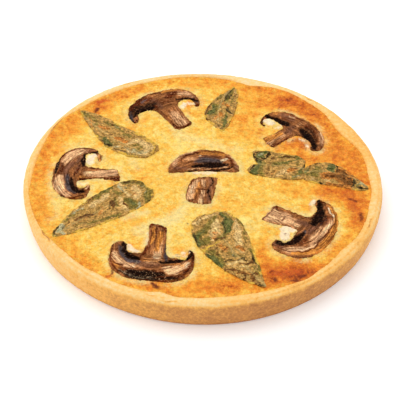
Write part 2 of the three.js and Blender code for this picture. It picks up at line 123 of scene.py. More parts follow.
# Cream strokes on the slices are partly custard and partly painted highlights.
# The grey shine strokes on the slices are painted sheen on wet gills.
SLICE_PAINT = {
    "mushroom_back_left": [
        ("tan", 3, 0.62, (0.6, -11, 3.6), (1, -17, 4.6), (1.6, -22, 4)),
        ("tan", 2, 0.8, (13, 10, 2), (18, 8, 2.6), (21, 2, 1)),
        ("amber", 1.5, 0.6, (-7, 17, 0.9), (-2, 16.6, 1)),
        ("amber", 1.5, 0.85, (3, 16.4, 1.2), (9, 16, 1.4), (17, 13.6, 1.2)),
        ("amber", 2, 0.4, (-5, -6, 1.4), (-4, -18, 1.4)),
        ("purple", 2.5, 0.8, (-10, 12, 2), (-6, 8, 3), (-5, 1, 2.4)),
        ("purple", 2, 0.6, (20, 5, 2), (22, -2, 1.4)),
        ("purple", 2, 0.6, (-29, -5, 1.4), (-28, 0, 1)),
        ("skin", 2.2, 0.9, (-28, 2, 1.6), (-22, 9, 2.8), (-14, 13, 2.6), (-8, 12, 2)),
        ("skin", 0.8, 0.9, (-19.4, 12.6, 0.7), (-16, 14.4, 0.8), (-13.4, 16.6, 0.9), (-10, 15.4, 0.6)),
        ("skin", 1.1, 0.85, (-5.6, 17.4, 0.9), (-1, 16.8, 0.9)),
        ("skin", 0.8, 0.9, (1.2, 16.2, 0.5), (1.6, 14.6, 0.5)),
        ("skin", 2.4, 0.9, (4, 9, 2), (8, 11, 3.2), (12, 12, 1.6)),
        ("skin", 3, 0.55, (-4, 8, 2.4), (0, 5, 3.4), (7, 5, 2.4)),
        ("skin", 1.4, 0.6, (5, 15, 0.6), (11, 14.6, 0.8), (15.4, 13, 0.8)),
        ("skin", 1.4, 0.8, (-9, 6, 1.6), (-8.4, 1, 1.2), (-8, -2, 0.8)),
        ("skin", 1, 0.7, (-7.4, -4, 0.7), (-5.6, -13, 0.6), (-5, -20, 0.6)),
        ("skin", 1.2, 0.95, (-30, -8, 1), (-27, -8.6, 1.2), (-26, -6, 0.7)),
        ("skin", 0.9, 1, (-4.6, -21, 0.8), (-4, -25, 1.1), (0, -26.2, 0.8), (5, -25.6, 0.8),
                         (7.4, -23, 0.8)),
        ("skin", 0.8, 0.9, (17.6, -8.4, 0.9), (20.6, -7.6, 1.1)),
        ("slate", 1.3, 1, (-29, -6, 1), (-28.4, -1, 1.4), (-26.6, 4, 1.1)),
        ("slate", 1.4, 0.6, (-15, 11, 1.4), (-11, 12.6, 1)),
        ("slate", 1.2, 0.7, (19, -2.4, 0.8), (21.6, -5, 0.8)),
        ("black", 2.4, 0.74, (-27, 2, 2), (-22, 5.6, 3), (-14, 6.6, 3.2), (-8, 6, 2.2)),
        ("black", 1.4, 1, (-26.4, -2, 0.8), (-23, 2, 1.8), (-17, 3, 2.6), (-11, 3, 2.2)),
        ("black", 1.1, 1, (9.4, 4.2, 0.9), (14, 3.4, 1.3), (19, 0.6, 1.3), (21.6, -3, 1)),
        ("black", 2.2, 0.4, (8, 7, 1.4), (15, 5, 1.2)),
        ("cream", 0.7, 1, (-14.6, 1.6, 0.7)),
    ],
    "mushroom_back_right": [
        ("tan", 2, 0.35, (-3, 10, 2), (-1, 6, 2)),
        ("tan", 1.2, 0.8, (12, 13.6, 0.8), (19, 9, 1.4), (24, 3, 1)),
        ("tan", 2, 0.6, (-1.6, -9, 2.4), (-2.6, -16, 3), (-2.6, -22, 3.2)),
        ("amber", 2, 0.7, (-22, 5, 2), (-21, 9, 1.2)),
        ("amber", 2, 0.8, (-3, -9, 2), (-4, -15, 3), (-5.4, -21, 2.6)),
        ("amber", 1.2, 0.8, (2, 15.4, 0.9), (6, 15.6, 1.2), (12, 14.4, 0.8)),
        ("purple", 2.4, 0.7, (-17, 8, 2.6), (-9, 8, 2.4)),
        ("purple", 2, 0.7, (-3, 2, 3), (-1, -4, 2.6)),
        ("skin", 1.2, 0.9, (-25, 1, 0.8), (-24.4, 8, 0.8), (-21, 11.4, 0.8)),
        ("skin", 1.8, 0.7, (-19, 11.6, 0.9), (-11, 12.6, 1.2), (-3, 13.6, 1)),
        ("skin", 2, 0.5, (-15, 6, 1.6), (-8, 6, 1.4)),
        ("skin", 2.4, 0.72, (3, 11, 2.6), (8, 11.4, 2.6), (14, 8, 2), (19, 4, 1.4)),
        ("skin", 0.7, 0.8, (9, 14, 0.4), (16, 10.6, 0.5), (22, 5.6, 0.5), (25.4, 1, 0.5)),
        ("skin", 1.1, 1, (-25, -1, 1.2), (-24.6, -6, 1.3), (-22, -9, 1.2), (-17.6, -10.8, 0.9)),
        ("skin", 0.9, 0.95, (4.4, -4, 0.7), (3.2, -12, 0.8), (3, -20, 0.8), (2, -23, 0.9)),
        ("skin", 0.9, 0.6, (-6, -3, 0.6), (-5.4, -10, 0.5)),
        ("skin", 1, 0.6, (-8, -21, 0.6), (-4, -23.6, 0.5)),
        ("black", 1.6, 1, (-24, -1.2, 1.6), (-18, 0.6, 2.2), (-13, 2, 2.6), (-7.6, 2.2, 2.2)),
        ("black", 2, 0.4, (-18, 3.4, 1.2), (-10, 5, 1.4)),
        ("black", 2, 1, (3, 5.6, 1.8), (8, 4, 3.2), (15, 1.8, 3.2), (21, -0.8, 2.4), (24, -3.6, 1.8)),
        ("black", 2.4, 0.7, (4, 9.6, 1.8), (11, 8, 2.2), (17, 4.8, 1.4)),
        ("cream", 1, 0.4, (-14, 10.6, 0.5), (-9, 11.6, 0.5)),
    ],
    "mushroom_left": [
        ("tan", 2.2, 1, (-22, 7, 1.6), (-20, 12, 2.8), (-12, 15, 3.6), (-4, 14, 2.4)),
        ("tan", 2.6, 0.9, (10, 12.6, 2), (17, 10, 3.6), (22, 5, 3.2), (24, 0, 2)),
        ("tan", 1.6, 1, (0, -3, 2.4), (0, -12, 3), (1, -21, 3)),
        ("tan", 1.2, 0.9, (-16, -4.6, 0.8), (-13, -4.8, 0.7)),
        ("tan", 1.2, 0.9, (14, -10.2, 0.6), (20, -10, 0.8)),
        ("amber", 1.6, 0.8, (-24.4, 10, 1), (-24.6, 2, 1.3), (-21, -2, 1.2)),
        ("amber", 1.8, 0.6, (-4, 2, 1.4), (-3, -2, 1.2)),
        ("amber", 1.4, 0.8, (13, -10.6, 0.8), (22, -10.4, 1)),
        ("purple", 2.6, 0.8, (-6, 11, 1.6), (4, 11, 3), (10, 7, 2.6)),
        ("purple", 2, 0.8, (3, 4, 2), (8, 3, 1.6)),
        ("purple", 1.8, 0.7, (23.4, 0, 1.2), (25.6, -5, 1.6)),
        ("skin", 1.8, 0.8, (0, 15, 1.6), (6, 14, 1.8), (10, 14.6, 1)),
        ("skin", 0.9, 0.95, (-22, -1.4, 0.9), (-24.8, 4, 0.8), (-23.4, 10, 0.8), (-17.4, 17, 0.5),
                            (-10, 19.6, 0.5), (-3, 18.6, 0.7)),
        ("skin", 1.2, 0.6, (-22.6, 8, 0.5), (-20.4, 3, 0.9)),
        ("skin", 0.8, 1, (15, 16, 0.8), (19, 14, 0.7), (24, 8, 0.6), (26, 1, 0.6), (26.6, -4, 0.4)),
        ("skin", 0.9, 1, (-2, 4.8, 0.7), (1, 4.5, 1.1), (4.6, 3, 0.8)),
        ("skin", 0.8, 1, (-1.4, 1.4, 0.9)),
        ("skin", 0.8, 0.95, (-5.6, 1, 0.6), (-4.6, -8, 0.6), (-4.4, -16, 0.7), (-5, -20, 0.8)),
        ("skin", 0.8, 0.9, (7.4, -1.6, 0.6), (5, -8, 0.6), (4.4, -16, 0.5), (4.8, -21, 0.8)),
        ("skin", 1.1, 1, (-5, -21.5, 1.4), (-5, -24, 2.2)),
        ("skin", 1.1, 0.9, (-19, -2.6, 0.8), (-16, -5.6, 0.6), (-12, -6, 0.5)),
        ("skin", 0.9, 0.9, (16, -11.2, 0.5), (20, -11.4, 0.6), (24, -9.4, 0.7)),
        ("slate", 2, 1, (-19, 3, 1.4), (-15.6, 7, 2), (-9, 8.8, 1.8), (-2, 9.4, 1.2)),
        ("slate", 1.8, 0.5, (12, 4, 1.4), (18, 2.4, 1.2)),
        ("black", 1.2, 1, (-17.6, -2, 1.5), (-17.6, 1.4, 2), (-14.6, 4.8, 1.9), (-8.6, 6.6, 1.3),
                          (-4, 7.2, 0.7)),
        ("black", 0.8, 1, (-1, 17.8, 0.7), (4, 17.4, 1), (10, 16.6, 0.9), (15, 16.2, 0.7)),
        ("black", 1.1, 1, (8, 0, 1), (14, 0.4, 1.7), (19.4, -1, 1.8), (22, -5, 1.5), (22.8, -8.4, 1)),
        ("black", 1.8, 0.5, (8, 3.4, 1), (15, 3.4, 1.2)),
        ("cream", 1.2, 0.6, (-17, 13, 1), (-14, 15.6, 0.8)),
        ("cream", 1, 0.5, (-8, 17, 0.8)),
    ],
    "mushroom_front": [
        ("tan", 2, 1, (-22, 4.6, 1.4), (-17, 8.5, 2.4), (-9, 9.6, 1.8)),
        ("tan", 2.5, 0.6, (-4, 4, 2.4), (3, 5, 2), (8, 8, 1.4)),
        ("tan", 2, 1, (11, 8.6, 1.4), (16, 7.6, 2.4), (21, 4, 2.8), (23.4, -2, 1.8)),
        ("tan", 1.4, 0.95, (-16, 12, 1.4), (-12.4, 13, 1.8), (-9, 12, 1)),
        ("tan", 1.8, 1, (-2.6, 0, 2.6), (-3, -8, 2), (-3.4, -14, 1.6)),
        ("amber", 1.6, 0.9, (-2, -6, 1.6), (-3, -14, 2), (-3.4, -22, 2)),
        ("amber", 1.2, 1, (1.6, -12, 0.9), (1, -20, 1.2), (1.4, -26, 1)),
        ("amber", 2, 0.9, (-21, 14, 1.6), (-15, 17.6, 2), (-8, 18.6, 1.4)),
        ("amber", 1.8, 0.8, (15, 14.6, 1.6), (21, 9, 1.6), (24.6, 4, 1)),
        ("amber", 2, 0.6, (-19, 6.6, 1.2), (20, 1, 1.4)),
        ("purple", 2.4, 0.7, (-4, 7, 1.6), (2, 8, 2.2), (7, 6, 2.2)),
        ("purple", 1.6, 0.7, (21.6, -6, 1.8), (22, -9.6, 1.2)),
        ("purple", 1.4, 0.7, (-4, -24, 1.4)),
        ("skin", 1.3, 1, (-25, -3, 1.1), (-25.4, 3, 1), (-22.4, 9, 1.2), (-20, 13.6, 1.2)),
        ("skin", 1.8, 0.85, (-19, 15.6, 2), (-12, 17.8, 2), (-6, 17.6, 2.2)),
        ("skin", 0.9, 0.9, (-20, 18, 0.8), (-12, 20.6, 0.6), (-4, 20.4, 0.8), (4, 20.2, 1), (12, 19.6, 1)),
        ("skin", 2, 0.95, (-5, 14.6, 2.6), (4, 15.4, 4), (12, 14.6, 3.4)),
        ("skin", 1.8, 0.72, (12, 15, 2.6), (18, 11.6, 2.4)),
        ("skin", 0.9, 0.9, (17.6, 8.6, 0.9), (23, 6.4, 0.7), (25, 3.6, 0.6)),
        ("skin", 0.8, 0.95, (20, 14, 0.7), (24.6, 7, 0.6), (26.6, 0, 0.6), (25.4, -5, 0.7)),
        ("skin", 1.1, 0.9, (7.6, 0.6, 0.8), (5.4, -4, 1.3), (3, -10, 0.9)),
        ("skin", 0.8, 0.8, (2.6, -10, 0.5), (2.4, -18, 0.5), (2.8, -24, 0.6)),
        ("skin", 0.7, 0.9, (-0.6, -8, 0.4), (-0.8, -18, 0.5), (-0.6, -27, 0.6)),
        ("skin", 1, 1, (-6.8, -22.6, 0.8), (-5, -26.2, 1.3), (-2, -27.4, 0.8)),
        ("skin", 0.9, 1, (0.4, -28.4, 0.8), (2.4, -30.4, 1.2), (3.6, -27, 0.7)),
        ("slate", 1.2, 0.95, (-8.4, 2.6, 1), (-7.6, -4, 0.9), (-7.2, -12, 0.6)),
        ("slate", 1.6, 0.9, (8.4, 4.4, 1.6), (14.4, 2.8, 2.2), (19, -2.4, 2), (20.6, -8, 1.2)),
        ("black", 2, 0.95, (-7, 15, 1.6), (0, 15.2, 3), (8, 15.2, 3.2), (14, 13.4, 2)),
        ("black", 1.2, 0.85, (-16, 18, 1), (-8, 18.6, 1.2), (4, 18.8, 1.4), (12, 17.6, 1.4), (19, 13.4, 1)),
        ("black", 1.1, 1, (-24, -4, 1.2), (-20.5, 0.6, 1.5), (-13, 3, 1.7), (-5.6, 4.2, 1.2)),
        ("black", 2, 0.4, (-14, 5.6, 1), (-6, 6, 1.2)),
        ("black", 1.3, 1, (9, 1.6, 1.4), (13.6, -0.6, 2.4), (17, -5.4, 2.4), (18.2, -11, 1.9)),
        ("black", 0.7, 1, (-24, -5.4, 0.8), (-22.6, -8, 0.8), (-20.4, -7.4, 0.6)),
        ("cream", 0.6, 1, (-22.2, -5.4, 0.9)),
        ("cream", 0.8, 0.8, (-22.8, 4, 0.6), (-20.6, 8, 0.6)),
        ("cream", 1.2, 0.7, (-2, 1, 1.4)),
        ("cream", 1.4, 0.26, (-2, 18.4, 1.4), (10, 18, 1.4), (19, 12, 1.2)),
        ("cream", 0.8, 0.6, (11, 9.4, 0.6), (9, 4.8, 0.5)),
    ],
    "mushroom_right": [
        ("tan", 2, 1, (-17, 13, 1), (-8, 13.6, 1.6), (4, 13.4, 1.6), (13, 13.6, 1.6)),
        ("tan", 2.4, 0.8, (17, 11, 2.2), (22, 6, 2.8), (25, 1, 1.6)),
        ("tan", 2.4, 0.6, (-6, 10, 2), (7, 10, 2)),
        ("tan", 2, 0.6, (0, -4, 3.4), (0, -8, 4)),
        ("tan", 2, 0.95, (0, -13, 4.6), (1.6, -22, 6.4)),
        ("amber", 1.4, 1, (-27.6, 2, 0.8), (-24.6, 8, 1.2), (-17, 15.4, 2), (-7, 18.6, 2.4),
                          (5, 18.8, 2.6), (14, 17.2, 2.2), (20, 13.4, 1.6), (25, 7, 1)),
        ("purple", 2.5, 0.9, (-5, 6, 2.5), (3, 6, 2)),
        ("amber", 1.4, 0.6, (-8, -4, 1), (-7, -18, 0.9)),
        ("skin", 1.2, 0.7, (-8, 19.6, 0.6), (-2, 20.2, 0.9), (3, 19.6, 1.2)),
        ("skin", 1, 0.5, (6, 18, 0.9), (14, 18.4, 0.9)),
        ("skin", 0.7, 0.95, (-22, 8.4, 0.3), (-18.6, 13, 0.3), (-14, 15.4, 0.4), (-8, 15.4, 0.5),
                            (-4, 16, 0.4), (1, 15, 0.5), (6, 14.8, 0.5), (11, 15.7, 0.6), (15, 15.2, 0.5),
                            (19, 12.6, 0.6), (23, 7.6, 0.6), (25, 3, 0.5), (26, -1, 0.5)),
        ("skin", 1.2, 0.9, (-27.6, 3, 0.8), (-28, -2, 1)),
        ("skin", 2.2, 0.8, (-17, 8, 1.8), (-9, 8.6, 1.8)),
        ("skin", 2, 0.7, (7, 7.6, 1.4), (14, 7, 2)),
        ("skin", 1.2, 0.6, (-8.8, -1, 0.9), (-7.6, -8, 0.8), (-7, -19, 0.8)),
        ("skin", 0.9, 1, (-6, -23, 1.3)),
        ("skin", 0.6, 0.9, (-5, -23.8, 0.4), (2, -23.8, 0.4), (8.4, -24.8, 0.5)),
        ("skin", 0.7, 0.9, (0.4, -13.6, 0.5), (2.6, -13.8, 0.5)),
        ("skin", 1.2, 0.6, (21, -3, 1.4), (25, -4, 1.2)),
        ("purple", 2, 0.8, (-3, 1, 3), (-3, -5, 2)),
        ("purple", 1.5, 0.9, (23.4, -1, 1.6), (23.6, -5.6, 2)),
        ("purple", 2, 0.6, (-16, 10.4, 1.4), (-8, 11, 1)),
        ("slate", 1.4, 0.95, (3, 3, 1.2), (7.4, 3.6, 1.2)),
        ("slate", 1.6, 0.5, (-14, 8, 1.2), (-6, 8, 1)),
        ("black", 1.4, 1, (-30, -6.4, 0.7), (-25, -2, 1.8), (-18, 2.6, 3.2), (-12, 4, 3.4), (-7, 3.8, 2.4)),
        ("black", 2.4, 0.7, (-17, 7, 1.6), (-9, 8, 1.6)),
        ("black", 1.4, 1, (5, 3, 1.2), (10, 3, 2.4), (15, 2, 2.6), (19, -1.4, 2.4), (21, -5.6, 2.2)),
        ("black", 2.2, 0.5, (9, 6.4, 1.2), (16, 5, 1.4), (20, 1, 1)),
        ("cream", 0.9, 1, (-24, 5, 0.4), (-21.4, 8.4, 0.7), (-18.8, 11.8, 0.6)),
        ("cream", 1, 0.5, (-10, 13.6, 0.7), (-2, 13.8, 0.6)),
        ("cream", 0.9, 0.55, (15, 13, 0.6), (18, 11, 0.6), (21, 8, 0.5)),
    ],
    "mushroom_centre_cap": [
        ("tan", 1.6, 0.6, (-21.4, 5, 1.6), (-20, 12, 2), (-15, 18, 1.8), (-7, 21, 1.2)),
        ("tan", 2, 0.3, (-13, 13, 2.4), (-8, 12, 2.6)),
        ("tan", 0.8, 0.9, (-12, 2.2, 0.4), (-4, 2.6, 0.4), (6, 2.7, 0.4), (14, 4, 0.5)),
        ("tan", 1.6, 0.7, (18, 16, 1.4), (21, 9, 1.2), (21, 3, 1.2)),
        ("amber", 2, 0.8, (-4, 18.8, 1.6), (4, 19.4, 2.2), (12, 17.6, 2.4)),
        ("purple", 2.5, 1, (-6, 9, 2), (0, 12.6, 3), (8, 12, 2.6)),
        ("purple", 2, 0.8, (-20, 2.6, 1.8), (-14, 3.4, 1.6)),
        ("purple", 1.6, 0.8, (20.6, 6, 1.4), (20.6, 2, 1.6)),
        ("skin", 0.9, 0.6, (-23, 5, 0.4), (-21, 13, 0.4), (-16, 19.4, 0.4)),
        ("skin", 0.8, 1, (-16.4, 10, 0.4), (-15, 14.4, 0.6), (-10, 17, 0.8), (-6, 18.6, 0.7),
                         (-3, 19.8, 0.5)),
        ("skin", 1.4, 0.8, (0, 20.6, 0.8), (6, 20.2, 1.1), (12, 18.6, 0.8)),
        ("skin", 1.1, 0.95, (14, 15, 0.9), (17.6, 11, 1.1), (18, 5.4, 1)),
        ("skin", 1.6, 0.6, (4, 16, 1.4), (10, 15, 1.2)),
        ("skin", 1.4, 0.6, (-21, 1.4, 0.9), (-16, 1.2, 0.8)),
        ("slate", 2, 0.9, (-6, 10.4, 1.4), (-1, 11, 2.2), (4, 11, 2.6), (10, 10, 2)),
        ("slate", 0.9, 0.8, (-4, 13.4, 0.8)),
        ("black", 1.4, 1, (-9, 5, 1), (-4, 6, 2), (2, 6.2, 2.9), (8, 6.2, 2.8), (14, 6.8, 1.7)),
        ("black", 2.4, 0.6, (-2, 9, 1.8), (9, 9, 1.6)),
        ("black", 0.7, 1, (0, 0.9, 0.6), (7, 1.1, 0.8), (13, 2.2, 0.8), (18, 4, 0.8)),
        ("black", 0.7, 1, (-14, 0.3, 0.4), (-9, 0.7, 0.7), (-5, 1.4, 0.5)),
        ("cream", 1, 0.95, (10.8, 10.6, 0.9), (13.8, 12, 1.4)),
        ("cream", 0.9, 0.8, (-3.4, 16.2, 0.8)),
        ("cream", 0.8, 0.5, (-22, 9, 0.6), (-19, 15.4, 0.6)),
    ],
    "mushroom_centre_stem": [
        ("tan", 1.8, 1, (-6, -11, 1.8), (-9, -18, 2.8), (-10.4, -27, 2.6)),
        ("tan", 1.4, 0.9, (-2, -10, 1.6), (-1.6, -15, 1.4)),
        ("tan", 1.6, 0.9, (-2, -20, 1.4), (-3, -25, 1.6), (-4, -31, 1.6)),
        ("amber", 1.8, 0.7, (-5, -12, 1.4), (-6.4, -20, 1.4), (-8.4, -28, 1.2)),
        ("amber", 1.4, 0.7, (-10, -7, 0.9), (-2, -6, 0.9)),
        ("purple", 1.6, 0.7, (2.6, -9, 1.6), (3, -15, 1.2), (1.4, -22, 1.6), (1, -30, 1.8)),
        ("skin", 0.7, 0.9, (-8.4, -9, 0.4), (-11.6, -15, 0.6), (-13.6, -22, 0.5)),
        ("skin", 0.7, 0.9, (-12, -30, 0.5), (-8, -28.6, 0.5), (-6.6, -23, 0.5)),
        ("skin", 0.8, 0.9, (-6.6, -18, 0.7), (-3.4, -19, 0.9), (0, -19.6, 0.7)),
        ("skin", 0.8, 0.9, (-6, -7, 0.7), (-1, -6.6, 0.8)),
        ("skin", 0.9, 0.7, (-3.4, -24, 0.7), (-2.4, -28.6, 0.7)),
        ("skin", 0.8, 0.6, (-1, -11, 0.5), (0, -15, 0.5)),
        ("black", 0.8, 0.95, (3.6, -6, 0.7), (4.4, -11.6, 0.6), (3, -15, 0.5)),
        ("black", 0.8, 0.9, (1.4, -17, 0.5), (0.8, -22, 0.7)),
        ("black", 0.8, 0.95, (1.8, -25, 0.6), (2.2, -29, 0.7)),
        ("black", 0.7, 0.8, (-4.4, -20.6, 0.4)),
        ("cream", 0.9, 0.7, (-10.4, -21, 0.8), (-9, -15.6, 0.7)),
    ],
}
